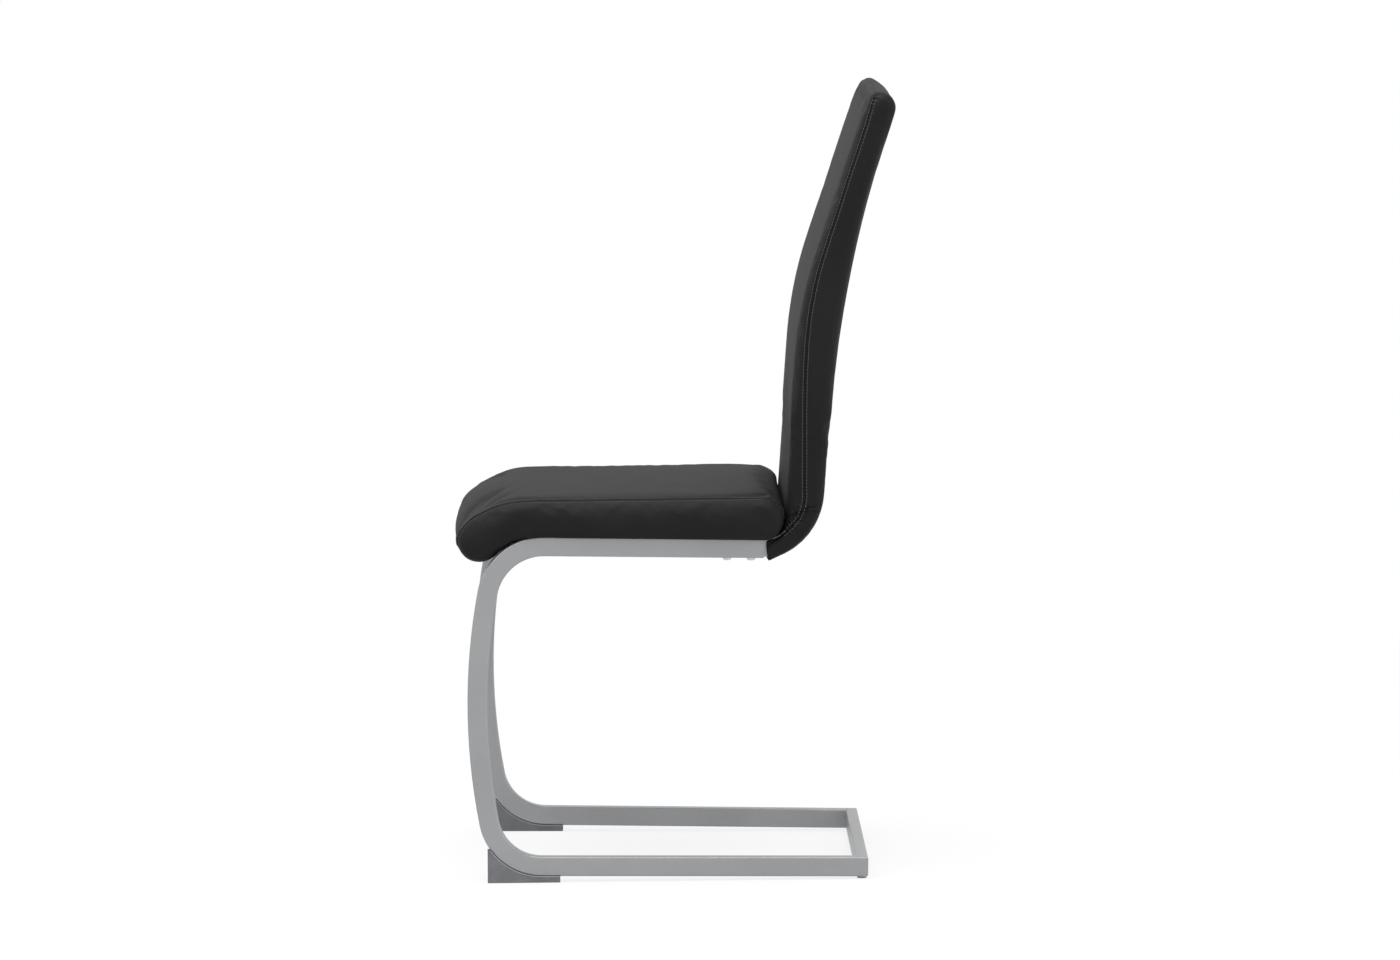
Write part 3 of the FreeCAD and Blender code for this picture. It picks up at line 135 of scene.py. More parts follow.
def makeSilverCoat():
    # silver powder coat on steel: even satin grey, faint orange peel, a little sparkle
    material, tree, shader, place = startMaterial("silverPowderCoat", {
        "Metallic": silverCoat["metallic"], "IOR": 1.5, "Coat Weight": 0.15, "Coat Roughness": 0.3})
    flake = addNode(tree, "ShaderNodeTexNoise", {"Vector": place},
                    {"Scale": 1 / (silverCoat["flakeSize"] * mm), "Detail": 1.0}).outputs["Fac"]
    cloud = addNode(tree, "ShaderNodeTexNoise", {"Vector": place},
                    {"Scale": 14.0, "Detail": 3.0}).outputs["Fac"]
    sparkle = addNode(tree, "ShaderNodeValToRGB", {"Fac": flake},
                      stops=zip((0.3, 0.7), silverCoat["flakes"])).outputs["Color"]
    clouds = addNode(tree, "ShaderNodeValToRGB", {"Fac": cloud},
                     stops=zip((0.35, 0.65), silverCoat["clouds"])).outputs["Color"]
    colour = addNode(tree, "ShaderNodeMix", {6: sparkle, 7: clouds}, {0: silverCoat["cloudShare"]},
                     data_type="RGBA").outputs[2]
    rough = addNode(tree, "ShaderNodeMapRange", {"Value": cloud},
                    {"To Min": silverCoat["roughness"] - silverCoat["uneven"],
                     "To Max": silverCoat["roughness"] + silverCoat["uneven"]})
    peel = addNode(tree, "ShaderNodeTexNoise", {"Vector": place},
                   {"Scale": 1 / (silverCoat["peelSize"] * mm), "Detail": 2.0}).outputs["Fac"]
    normal = addNode(tree, "ShaderNodeBump", {"Height": peel}, {"Distance": silverCoat["peelDepth"] * mm})
    wire(tree, shader, {"Base Color": colour, "Roughness": rough.outputs["Result"],
                        "Normal": normal.outputs["Normal"]})
    return material


leather = {
    "tones": ("#0c0c0e", "#131315"),
    "roughness": 0.68,
    "smoother": 0.05,      # how much less rough the pebbles' tops are
    "rougher": 0.08,       # and how much rougher the leather is between them
    "specular": 0.2,
    "grainSize": 1.3,      # mm between the pebbles of the embossed grain
    "grainDepth": 0.12,    # mm
    "creaseSize": 30.0,    # mm between soft stretch marks
    "creaseDepth": 0.5,    # mm
    # painted shade: the colour that the seams' grooves are darkened to
    "seamShadeColour": "#040405",
    "seamDepth": 1.8,      # mm
    "seatSeamWidth": 4.6,  # mm from the middle of the seam, where two panels meet and the groove is darkened as painted shade, to plain leather
    "backSeamWidth": 2.0,
    "seamCore": 0.4,       # share of that width that is fully darkened as painted shade
    "gatherPitch": 5.2,    # mm between the puckers where a seam is pulled tight
    "gatherDepth": 0.9,    # mm
    "gatherNear": 1.0,     # mm from the seam, where the puckers begin to fade
    "gatherFar": 9.0,      # mm, where they end
}


def makeLeather(name, seamWidth):
    # black PVC leather on a knitted back: fine embossed pebble grain, low gloss, with painted shade
    # darkening the seams' grooves
    material, tree, shader, place = startMaterial(
        name, {"IOR": 1.5, "Specular IOR Level": leather["specular"]})
    tone = addNode(tree, "ShaderNodeTexNoise", {"Vector": place},
                   {"Scale": 9.0, "Detail": 4.0}).outputs["Fac"]
    plain = addNode(tree, "ShaderNodeValToRGB", {"Fac": tone},
                    stops=zip((0.35, 0.7), leather["tones"])).outputs["Color"]
    pebble = addNode(tree, "ShaderNodeTexVoronoi", {"Vector": place},
                     {"Scale": 1 / (leather["grainSize"] * mm), "Randomness": 0.9},
                     feature="SMOOTH_F1").outputs["Distance"]
    crease = addNode(tree, "ShaderNodeTexNoise", {"Vector": place},
                     {"Scale": 1 / (leather["creaseSize"] * mm), "Detail": 3.0,
                      "Distortion": 0.8}).outputs["Fac"]
    rough = addNode(tree, "ShaderNodeMapRange", {"Value": pebble},
                    {"To Min": leather["roughness"] - leather["smoother"],
                     "To Max": leather["roughness"] + leather["rougher"]})
    # how far the point is from the seam and along it, in mm, and how much the seam is gathered there
    offset = addNode(tree, "ShaderNodeAttribute", attribute_name="seamOffset").outputs["Fac"]
    along = addNode(tree, "ShaderNodeAttribute", attribute_name="seamAlong").outputs["Fac"]
    gather = addNode(tree, "ShaderNodeAttribute", attribute_name="gather").outputs["Fac"]
    distance = addNode(tree, "ShaderNodeMath", {0: offset}, operation="ABSOLUTE").outputs[0]
    groove = addNode(tree, "ShaderNodeMapRange", {"Value": distance},
                     {"From Min": seamWidth * leather["seamCore"], "From Max": seamWidth},
                     interpolation_type="SMOOTHSTEP").outputs["Result"]
    turn = addNode(tree, "ShaderNodeMath", {0: along}, {1: 2 * math.pi / leather["gatherPitch"]},
                   operation="MULTIPLY").outputs[0]
    wave = addNode(tree, "ShaderNodeMath", {0: turn}, operation="SINE").outputs[0]
    near = addNode(tree, "ShaderNodeMapRange", {"Value": distance},
                   {"From Min": leather["gatherNear"], "From Max": leather["gatherFar"],
                    "To Min": 1.0, "To Max": 0.0},
                   interpolation_type="SMOOTHSTEP").outputs["Result"]
    strength = addNode(tree, "ShaderNodeMath", {0: near, 1: gather}, operation="MULTIPLY").outputs[0]
    pucker = addNode(tree, "ShaderNodeMath", {0: wave, 1: strength}, operation="MULTIPLY").outputs[0]
    normal = addNode(tree, "ShaderNodeBump", {"Height": crease},
                     {"Distance": leather["creaseDepth"] * mm, "Strength": 0.6}).outputs["Normal"]
    for height, depth in ((pebble, -leather["grainDepth"]), (pucker, leather["gatherDepth"]),
                          (groove, leather["seamDepth"])):
        normal = addNode(tree, "ShaderNodeBump", {"Height": height, "Normal": normal},
                         {"Distance": abs(depth) * mm}, invert=depth < 0).outputs["Normal"]
    # painted shade: the seam's groove is darkened towards its middle
    colour = addNode(tree, "ShaderNodeMix", {0: groove, 7: plain}, {6: linear(leather["seamShadeColour"])},
                     data_type="RGBA").outputs[2]
    wire(tree, shader, {"Base Color": colour, "Roughness": rough.outputs["Result"], "Normal": normal})
    return material


def makePlastic(name, tones, roughness, grain):
    # moulded plastic: fine spark-eroded texture, slightly paler where the mould has polished it; grain in mm
    material, tree, shader, place = startMaterial(name, {"IOR": 1.49, "Roughness": roughness})
    tone = addNode(tree, "ShaderNodeTexNoise", {"Vector": place},
                   {"Scale": 60.0, "Detail": 3.0}).outputs["Fac"]
    colour = addNode(tree, "ShaderNodeValToRGB", {"Fac": tone}, stops=zip((0.3, 0.7), tones))
    spark = addNode(tree, "ShaderNodeTexNoise", {"Vector": place},
                    {"Scale": 1 / (grain * mm)}).outputs["Fac"]
    normal = addNode(tree, "ShaderNodeBump", {"Height": spark}, {"Distance": 0.03 * mm})
    wire(tree, shader, {"Base Color": colour.outputs["Color"], "Normal": normal.outputs["Normal"]})
    return material


def makeZinc():
    # bright zinc plate on steel: mirror grey with a faint mottled passivation
    material, tree, shader, place = startMaterial("zincPlatedSteel", {"Metallic": 1.0})
    mottle = addNode(tree, "ShaderNodeTexNoise", {"Vector": place},
                     {"Scale": 500.0, "Detail": 4.0}).outputs["Fac"]
    colour = addNode(tree, "ShaderNodeValToRGB", {"Fac": mottle},
                     stops=((0.3, "#b4b6b8"), (0.7, "#d2d3d4")))
    rough = addNode(tree, "ShaderNodeMapRange", {"Value": mottle}, {"To Min": 0.2, "To Max": 0.38})
    wire(tree, shader, {"Base Color": colour.outputs["Color"], "Roughness": rough.outputs["Result"]})
    return material


def makeCloth(name, tones, pitch):
    # spun or woven polypropylene: matt, dotted with the points that bond or cross its threads; pitch in mm
    material, tree, shader, place = startMaterial(name, {"Roughness": 0.92, "Sheen Weight": 0.1})
    dots = addNode(tree, "ShaderNodeTexVoronoi", {"Vector": place},
                   {"Scale": 1 / (pitch * mm), "Randomness": 0.15}).outputs["Distance"]
    colour = addNode(tree, "ShaderNodeValToRGB", {"Fac": dots}, stops=zip((0.2, 0.6), tones))
    normal = addNode(tree, "ShaderNodeBump", {"Height": dots}, {"Distance": 0.12 * mm})
    wire(tree, shader, {"Base Color": colour.outputs["Color"], "Normal": normal.outputs["Normal"]})
    return material


def makePlywood():
    # raw birch plywood: pale, with long grain across the seat
    material, tree, shader, place = startMaterial("rawPlywood", {"Roughness": 0.7})
    stretched = addNode(tree, "ShaderNodeMapping", {"Vector": place},
                        {"Scale": (6.0, 60.0, 60.0)}).outputs["Vector"]
    grain = addNode(tree, "ShaderNodeTexNoise", {"Vector": stretched},
                    {"Scale": 1.0, "Detail": 5.0}).outputs["Fac"]
    colour = addNode(tree, "ShaderNodeValToRGB", {"Fac": grain},
                     stops=((0.3, "#a07f52"), (0.7, "#c9ab7c")))
    wire(tree, shader, {"Base Color": colour.outputs["Color"]})
    return material


def makeThread(name, tones):
    # bonded polyester thread: near black, a little glossier than the leather
    material, tree, shader, place = startMaterial(name, {"Roughness": 0.5, "Sheen Weight": 0.2})
    twist = addNode(tree, "ShaderNodeTexNoise", {"Vector": place}, {"Scale": 2500.0}).outputs["Fac"]
    colour = addNode(tree, "ShaderNodeValToRGB", {"Fac": twist}, stops=zip((0.3, 0.7), tones))
    wire(tree, shader, {"Base Color": colour.outputs["Color"]})
    return material


coat = makeSilverCoat()
seatLeather = makeLeather("blackSeatLeather", leather["seatSeamWidth"])
backLeather = makeLeather("blackBackLeather", leather["backSeamWidth"])
footPlastic = makePlastic("greyFootPolypropylene", ("#5f6063", "#6b6c6f"), 0.55, 0.5)
glidePlastic = makePlastic("paleGlidePolyamide", ("#8b8c8e", "#9c9d9f"), 0.4, 0.5)
# painted highlight: paler than the foot, for the light caught along the foot's top edge
edgeHighlightPlastic = makePlastic("footEdgeHighlightPlastic", ("#8d8e91", "#9b9c9f"), 0.35, 0.5)
stripPlastic = makePlastic("blackStripPlastic", ("#1a1a1a", "#202020"), 0.5, 0.5)
zinc = makeZinc()
dustCloth = makeCloth("blackSpunCloth", ("#151515", "#222222"), 1.6)
webbing = makeCloth("blackElasticWebbing", ("#181818", "#2a2a2a"), 1.2)
plywood = makePlywood()
seatThread = makeThread("blackPolyesterThread", ("#101012", "#1b1b1d"))
backThread = makeThread("greyPolyesterThread", ("#38383b", "#545458"))

finishes = {
    "side_tube_left": coat, "side_tube_right": coat, "rear_cross_tube": coat, "front_seat_bar": coat,
    "rear_seat_bar": coat, "back_upright_left": coat, "back_upright_right": coat, "back_lower_bar": coat,
    "back_middle_bar": coat, "back_top_bar": coat, "front_foot_left": footPlastic,
    "front_foot_right": footPlastic, "foot_screws": zinc, "rear_glide_left": glidePlastic,
    "rear_glide_right": glidePlastic, "thread_block_left": zinc, "thread_block_right": zinc,
    "frame_bolts": zinc, "back_straps": webbing, "hem_strip": stripPlastic, "seat_board": plywood,
    "seat_dust_cover": dustCloth, "seat_tee_nuts": zinc, "seat_screws": zinc, "seat_washers": zinc,
}

for name, material in finishes.items():
    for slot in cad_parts[name].material_slots:
        slot.material = material
print("materials on the frame")


# Padded forms: an outline in the side view, rounded at its corners and drawn in towards both sides

def crossing(pointA, directionA, pointB, directionB):
    det = directionA[0] * directionB[1] - directionA[1] * directionB[0]
    gap = pointB - pointA
    return pointA + directionA * (gap[0] * directionB[1] - gap[1] * directionB[0]) / det


def roundedOutline(corners, insets, arcSteps=12, sideSteps=14):
    # corners are (y, z, radius) in mm, anticlockwise; each side is drawn in by its own inset
    count = len(corners)
    points = np.array([corner[:2] for corner in corners], float)
    sides = np.roll(points, -1, 0) - points
    sides /= np.linalg.norm(sides, axis=1)[:, None]
    starts = points + np.stack([-sides[:, 1], sides[:, 0]], 1) * np.array(insets)[:, None]
    points = np.array([crossing(starts[i - 1], sides[i - 1], starts[i], sides[i]) for i in range(count)])
    turns = np.array([math.atan2(sides[i - 1][0] * sides[i][1] - sides[i - 1][1] * sides[i][0],
                                 sides[i - 1] @ sides[i]) for i in range(count)])
    radii = np.array([max(corners[i][2] - (insets[i - 1] + insets[i]) / 2, 1.0) if turns[i] > 0
                      else corners[i][2] + (insets[i - 1] + insets[i]) / 2 for i in range(count)])
    reach = radii * np.tan(abs(turns) / 2)
    length = np.linalg.norm(np.roll(points, -1, 0) - points, axis=1)
    share = np.minimum(1, 0.98 * length / (reach + np.roll(reach, -1)))
    reach = reach * np.minimum(share, np.roll(share, 1))
    outline = []
    for i in range(count):
        first = points[i] - sides[i - 1] * reach[i]
        radius = reach[i] / math.tan(abs(turns[i]) / 2)
        inward = np.array([-sides[i - 1][1], sides[i - 1][0]]) * np.sign(turns[i])
        centre = first + inward * radius
        for step in range(arcSteps + 1):
            angle = turns[i] * step / arcSteps
            arm = -inward * radius
            outline.append(centre + [arm[0] * math.cos(angle) - arm[1] * math.sin(angle),
                                     arm[0] * math.sin(angle) + arm[1] * math.cos(angle)])
        last = outline[-1]
        following = points[(i + 1) % count] - sides[i] * reach[(i + 1) % count]
        outline += [last + (following - last) * step / sideSteps for step in range(1, sideSteps)]
    return np.array(outline)


def crossStations(half, rounding, middleStep=18.0):
    # places across the chair with how far the outline is drawn in there, as a quarter circle
    places = [(half - rounding + rounding * math.cos(a), rounding * (1 - math.sin(a)))
              for a in np.radians(np.linspace(0, 90, 10))]
    inner = np.linspace(half - rounding, 0, int((half - rounding) / middleStep) + 1)[1:]
    places += [(x, 0.0) for x in inner]
    return [(-x, inset) for x, inset in places] + [(x, inset) for x, inset in reversed(places[:-1])]


def inMetres(x, y, z):
    return (x * mm, y * mm, z * mm)


def paddedMesh(name, half, rounding, outlineAt, place):
    # skins the outlines and closes both ends; place turns an outline's (y, z) in mm into metres
    rings = []
    for x, inset in crossStations(half, rounding):
        rings.append([place(x, y, z) for y, z in outlineAt(x, inset)])
    size = len(rings[0])
    points = [point for ring in rings for point in ring]
    faces = []
    for r in range(len(rings) - 1):
        for i in range(size):
            j = (i + 1) % size
            faces.append((r * size + i, r * size + j, (r + 1) * size + j, (r + 1) * size + i))
    faces.append(tuple(range(size - 1, -1, -1)))
    faces.append(tuple(range((len(rings) - 1) * size, len(rings) * size)))
    mesh = bpy.data.meshes.new(name)
    mesh.from_pydata(points, [], faces)
    piece = bpy.data.objects.new(name, mesh)
    scene.collection.objects.link(piece)
    tidy = bmesh.new()
    tidy.from_mesh(mesh)
    bmesh.ops.recalc_face_normals(tidy, faces=tidy.faces)
    tidy.to_mesh(mesh)
    tidy.free()
    return piece


def bake(piece):
    # puts what the modifiers make into the mesh
    baked = bpy.data.meshes.new_from_object(piece.evaluated_get(bpy.context.evaluated_depsgraph_get()))
    piece.modifiers.clear()
    piece.data = baked


def readPoints(mesh):
    flat = np.empty(len(mesh.vertices) * 3)
    mesh.vertices.foreach_get("co", flat)
    return flat.reshape(-1, 3)


def writePoints(mesh, points):
    mesh.vertices.foreach_set("co", points.astype(np.float32).ravel())
    mesh.update()


def pointNormals(mesh):
    flat = np.empty(len(mesh.vertices) * 3)
    mesh.vertex_normals.foreach_get("vector", flat)
    return flat.reshape(-1, 3)


def surfaceTree(mesh):
    points = [tuple(point) for point in readPoints(mesh)]
    return BVHTree.FromPolygons(points, [tuple(face.vertices) for face in mesh.polygons])


def smoothPath(points, step):
    # an even row of points on a smooth curve through the given ones
    points = np.array(points, float)
    ends = np.vstack([2 * points[0] - points[1], points, 2 * points[-1] - points[-2]])
    dense = []
    for i in range(1, len(ends) - 2):
        a, b, c, d = ends[i - 1:i + 3]
        for t in np.linspace(0, 1, 24, endpoint=False):
            dense.append(0.5 * (2 * b + (c - a) * t + (2 * a - 5 * b + 4 * c - d) * t ** 2
                                + (3 * b - a - 3 * c + d) * t ** 3))
    dense = np.array(dense + [points[-1]])
    along = np.r_[0, np.cumsum(np.linalg.norm(np.diff(dense, axis=0), axis=1))]
    even = np.linspace(0, along[-1], max(2, int(along[-1] / step) + 1))
    return np.stack([np.interp(even, along, dense[:, k]) for k in range(points.shape[1])], 1)


class Seam:
    # a sewn line on a padded piece: its points, directions and outward normals, every millimetre

    def __init__(self, path, tree):
        hits = [tree.find_nearest(Vector(point)) for point in path]
        self.points = np.array([hit[0] for hit in hits])
        normals = np.array([hit[1] for hit in hits])
        kernel = np.ones(9) / 9
        for values in (self.points, normals):
            padded = np.pad(values, ((4, 4), (0, 0)), mode="edge")
            for k in range(3):
                values[:, k] = np.convolve(padded[:, k], kernel, "valid")
        self.normals = normals / np.linalg.norm(normals, axis=1)[:, None]
        tangents = np.gradient(self.points, axis=0)
        self.tangents = tangents / np.linalg.norm(tangents, axis=1)[:, None]
        self.across = np.cross(self.tangents, self.normals)
        steps = np.linalg.norm(np.diff(self.points, axis=0), axis=1)
        self.along = np.r_[0, np.cumsum(steps)]


def bothSides(line, x):
    # a line of the side view as a smooth path on each side of the chair, x mm from its middle
    return [[(side * x * mm, y * mm, z * mm) for y, z in smoothPath(line, 1.0)] for side in (1, -1)]


def seamsOn(piece, paths):
    tree = surfaceTree(piece.data)
    return [Seam(path, tree) for path in paths]


seamReach = 30 * mm   # points further than this from every seam belong to none


def seamField(points, seams, reach):
    # for each point: its distance from the nearest seam, how far across and along that seam, and which it is
    nearest = np.full(len(points), reach)
    offset = np.full(len(points), reach)
    along = np.zeros(len(points))
    which = np.full(len(points), -1)
    for number, seam in enumerate(seams):
        low = seam.points.min(0) - reach
        high = seam.points.max(0) + reach
        close = np.where(np.all((points > low) & (points < high), axis=1))[0]
        for block in np.array_split(close, max(1, len(close) // 2000)):
            gap = points[block][:, None, :] - seam.points[None, :, :]
            squared = (gap ** 2).sum(2)
            best = squared.argmin(1)
            distance = np.sqrt(squared[np.arange(len(block)), best])
            nearer = distance < nearest[block]
            chosen = block[nearer]
            k = best[nearer]
            nearest[chosen] = distance[nearer]
            offset[chosen] = (gap[np.arange(len(block)), best][nearer] * seam.across[k]).sum(1)
            along[chosen] = seam.along[k]
            which[chosen] = number
    return nearest, offset, along, which


def fade(value, low, high):
    t = np.clip((value - low) / (high - low), 0, 1)
    return t * t * (3 - 2 * t)


def pinGroup(piece, weights):
    group = piece.vertex_groups.new(name="held")
    levels = np.round(weights * 20).astype(int)
    for level in range(1, 21):
        members = np.where(levels == level)[0]
        if len(members):
            group.add(members.tolist(), level / 20, "REPLACE")
    return group.name


def heldAtSeams(piece, paths):
    # 1 at the seams, 0 from a centimetre away
    nearest = seamField(readPoints(piece.data), seamsOn(piece, paths), seamReach)[0]
    return 1 - fade(nearest, 3 * mm, 10 * mm)


air = {
    "quality": 6,          # steps in a frame
    "mass": 0.3,
    "stiffness": 12,
    "bending": 0.4,
    "pressure": 4.0,
    "slack": 0.012,        # share by which the leather is longer than the form
    "frames": 20,
}


def inflate(piece, weights, cap):
    # cloth filled with air, held where the weights say; no point moves further than the cap, in mm
    before = readPoints(piece.data)
    cloth = piece.modifiers.new("cloth", "CLOTH")
    cloth.settings.quality = air["quality"]
    cloth.settings.mass = air["mass"]
    cloth.settings.tension_stiffness = air["stiffness"]
    cloth.settings.compression_stiffness = air["stiffness"]
    cloth.settings.shear_stiffness = air["stiffness"] / 2
    cloth.settings.bending_stiffness = air["bending"]
    cloth.settings.use_pressure = True
    cloth.settings.uniform_pressure_force = air["pressure"]
    cloth.settings.shrink_min = -air["slack"]
    cloth.settings.effector_weights.gravity = 0
    cloth.settings.vertex_group_mass = pinGroup(piece, weights)
    cloth.collision_settings.use_collision = False
    cloth.point_cache.frame_start = 1
    cloth.point_cache.frame_end = air["frames"]
    for number in range(1, air["frames"] + 1):
        scene.frame_set(number)
    bake(piece)
    scene.frame_set(1)
    moved = readPoints(piece.data) - before
    length = np.linalg.norm(moved, axis=1)[:, None]
    capped = cap * mm * np.tanh(length / (cap * mm))
    writePoints(piece.data, before + moved * capped / np.maximum(length, 1e-9))
    piece.vertex_groups.clear()


def refine(piece, voxel=None):
    if voxel is not None:
        remesh = piece.modifiers.new("remesh", "REMESH")
        remesh.mode = "VOXEL"
        remesh.voxel_size = voxel * mm
    else:
        smooth = piece.modifiers.new("subdivision", "SUBSURF")
        smooth.levels = 1
        smooth.render_levels = 1
    bake(piece)


def sewDown(piece, seams, sewing, gatherAt):
    # presses the seams in and leaves what the leather needs to draw them
    points = readPoints(piece.data)
    nearest, offset, along, which = seamField(points, seams, seamReach)
    depth = sewing["depth"] * np.exp(-(nearest / (sewing["width"] * mm)) ** 2)
    gather = gatherAt(points, which)
    wave = np.sin(along / mm * 2 * math.pi / sewing["pitch"])
    swell = sewing["swell"] * wave * gather * np.exp(-nearest / (sewing["reach"] * mm))
    writePoints(piece.data, points - pointNormals(piece.data) * ((depth + swell) * mm)[:, None])
    for name, values in (("seamOffset", np.where(which >= 0, offset, seamReach) / mm),
                         ("seamAlong", along / mm), ("gather", gather)):
        field = piece.data.attributes.new(name, "FLOAT", "POINT")
        field.data.foreach_set("value", values.astype(np.float32))
    piece.data.shade_smooth()


# Rows of small bits along a path, such as stitches and weld beads, made by Geometry Nodes

def makeRowTree():
    tree = bpy.data.node_groups.new("bitsAlongPath", "GeometryNodeTree")
    tree.is_modifier = True
    for label, kind in (("Geometry", "NodeSocketGeometry"), ("Spacing", "NodeSocketFloat"),
                        ("Length", "NodeSocketFloat"), ("Width", "NodeSocketFloat"),
                        ("Height", "NodeSocketFloat"), ("Material", "NodeSocketMaterial")):
        tree.interface.new_socket(name=label, in_out="INPUT", socket_type=kind)
    tree.interface.new_socket(name="Geometry", in_out="OUTPUT", socket_type="NodeSocketGeometry")
    given = addNode(tree, "NodeGroupInput").outputs
    line = addNode(tree, "GeometryNodeMeshToCurve", {"Mesh": given["Geometry"]})
    even = addNode(tree, "GeometryNodeResampleCurve",
                   {"Curve": line.outputs["Curve"], "Length": given["Spacing"]}, mode="LENGTH")
    ball = addNode(tree, "GeometryNodeMeshUVSphere", values={"Segments": 8, "Rings": 6, "Radius": 0.5})
    size = addNode(tree, "ShaderNodeCombineXYZ",
                   {"X": given["Length"], "Y": given["Width"], "Z": given["Height"]})
    bit = addNode(tree, "GeometryNodeTransform",
                  {"Geometry": ball.outputs["Mesh"], "Scale": size.outputs["Vector"]})
    tangent = addNode(tree, "GeometryNodeInputTangent").outputs["Tangent"]
    outward = addNode(tree, "GeometryNodeInputNamedAttribute", values={"Name": "outward"},
                      data_type="FLOAT_VECTOR")
    aim = addNode(tree, "FunctionNodeAlignRotationToVector", {"Vector": tangent}, axis="X")
    roll = addNode(tree, "FunctionNodeAlignRotationToVector",
                   {"Rotation": aim.outputs["Rotation"], "Vector": outward.outputs["Attribute"]},
                   axis="Z", pivot_axis="X")
    copies = addNode(tree, "GeometryNodeInstanceOnPoints",
                     {"Points": even.outputs["Curve"], "Instance": bit.outputs["Geometry"],
                      "Rotation": roll.outputs["Rotation"]})
    smooth = addNode(tree, "GeometryNodeSetShadeSmooth", {"Geometry": copies.outputs["Instances"]})
    real = addNode(tree, "GeometryNodeRealizeInstances", {"Geometry": smooth.outputs["Geometry"]})
    painted = addNode(tree, "GeometryNodeSetMaterial",
                      {"Geometry": real.outputs["Geometry"], "Material": given["Material"]})
    addNode(tree, "NodeGroupOutput", {"Geometry": painted.outputs["Geometry"]})
    return tree


rowTree = makeRowTree()


def bitsAlong(name, rows, bit, material):
    # rows are lists of (point, outward normal); bit gives spacing, length, width and height in mm
    points, edges, normals = [], [], []
    for row in rows:
        start = len(points)
        points += [tuple(point) for point, normal in row]
        normals += [tuple(normal) for point, normal in row]
        edges += [(k, k + 1) for k in range(start, len(points) - 1)]
    mesh = bpy.data.meshes.new(name)
    mesh.from_pydata(points, edges, [])
    outward = mesh.attributes.new("outward", "FLOAT_VECTOR", "POINT")
    outward.data.foreach_set("vector", np.array(normals, np.float32).ravel())
    piece = bpy.data.objects.new(name, mesh)
    scene.collection.objects.link(piece)
    modifier = piece.modifiers.new("bits", "NODES")
    values = {"Spacing": bit["spacing"] * mm, "Length": bit["length"] * mm, "Width": bit["width"] * mm,
              "Height": bit["height"] * mm, "Material": material}
    modifier.node_group = rowTree
    for item in rowTree.interface.items_tree:
        if item.in_out == "INPUT" and item.name in values:
            modifier[item.identifier] = values[item.name]
    bake(piece)
    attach(piece, "root")


def stitchRows(seams, tree, apart, lift):
    rows = []
    for seam in seams:
        for side in (-1, 1):
            row = []
            for k in range(0, len(seam.points), 2):
                near = tree.find_nearest(Vector(seam.points[k] + seam.across[k] * side * apart * mm))
                row.append((np.array(near[0]) + np.array(near[1]) * lift * mm, seam.normals[k]))
            rows.append(row)
    return rows


def wear(piece, material):
    piece.data.materials.clear()
    piece.data.materials.append(material)


# Seat pad, in the rails' own frame: u along a rail to the rear, w away from it

seat = {
    "corners": [(299.7, 0, 24), (301.7, 36, 14), (281.7, 51.8, 30), (-50.8, 43.3, 125),
                (-95.8, 18.6, 56), (-108.6, -7, 20), (-89.5, -43, 22),
                (-25.9, 0, 84.7)],   # (u, w, radius) in mm
    # for each side of the outline: how far in from the corners' line it starts and how far it bulges in
    # the middle of the chair, both in mm and either way, and its share of the rounding at the ends
    "sides": [(0.0, -3.0, 0.5), (-0.9, 3.0, 1), (0.4, 3.0, 1), (0.6, 9.0, 1),
              (-1.8, 9.0, 0.8), (-4.6, 9.0, 0.6), (1.0, 0.0, 0.15), (0.4, 0.0, 0.1)],
    "half": 215.0,         # mm, half the pad's width
    "skin": 1.0,           # mm that the ends start inside it
    "rounding": 20.0,
    "droop": 2.4,          # mm, how far the border hangs below the rails' tops
    "voxel": 5.0,
    "seam": [(-270, 429), (-269, 444), (-260, 457), (-244, 466.5), (-224, 475), (-203, 479.5), (-171, 483),
             (-123, 484), (4, 484), (105, 484), (126, 479), (137, 470), (142, 459)],   # (y, z) in mm
    "seamX": 197.0,        # mm from the chair's middle
    "stitchesApart": 4.4,  # mm from the seam to the stitches beside it
    "cap": 3.2,            # mm, how far the air may push the leather out
    "sewing": {"depth": 1.8, "width": 3.5, "swell": 0.5, "pitch": 11, "reach": 12},   # mm
    # pairs in mm between which an effect fades in or out
    "restsBelow": (1.5, 9),        # w, where the pad lies on the rails
    "restsBehind": (-16, -4),      # u
    "rearHeld": (285, 297),        # u
    "gatherFront": (-262, -235),   # y
    "gatherRear": (118, 132),      # y
    "gather": 0.35,
    "clothHalf": (160.5, 163),     # x, edge of the hollow above the dust cloth
    "clothFront": (28.5, 31),      # u
    "clothRear": (243, 245.5),     # u
    "clothBelow": 6,               # w, only points lower than this are lifted
    "clothLift": 2.0,              # w of the pad's underside above the cloth
}
sideFrame = {
    "spread": 202.5,       # mm from the chair's middle to a tube's middle, at its front
    "frontY": -262.0,      # mm
    "toe": 1.64,           # degrees that a side frame turns inwards to the rear
    "halfTube": 7.5,       # mm
}
clear = {
    "air": 0.25,                 # mm between the pad and the rails' tops
    "step": 2.5,                 # mm beside a tube, over which the border comes down
    "hangsBelow": (0.5, 14),     # w, between which the border's hanging fades out
    "hangsBehind": (-40, -15),   # u
    "bendEnds": -2,              # u, in front of it the rail bends down
    "flatBelow": 8,              # w, only points lower than this are lifted
    "bendBelow": 12,             # w, the same at the bend
    "bendCentre": (0.0, -84.2),  # (u, w)
    "bendReach": 84.6,           # mm from there to the pad, 0.4 more than to the tube
    "bendBeside": 1,             # mm beside a tube that still count as on the bend
}
railOrigin = np.array([-163.8, 438.8])   # (y, z) in mm of u = w = 0, on a rail's top
railDown = math.radians(1.0)             # the rails fall to the rear
alongRail = np.array([math.cos(railDown), -math.sin(railDown)])
awayFromRail = np.array([math.sin(railDown), math.cos(railDown)])


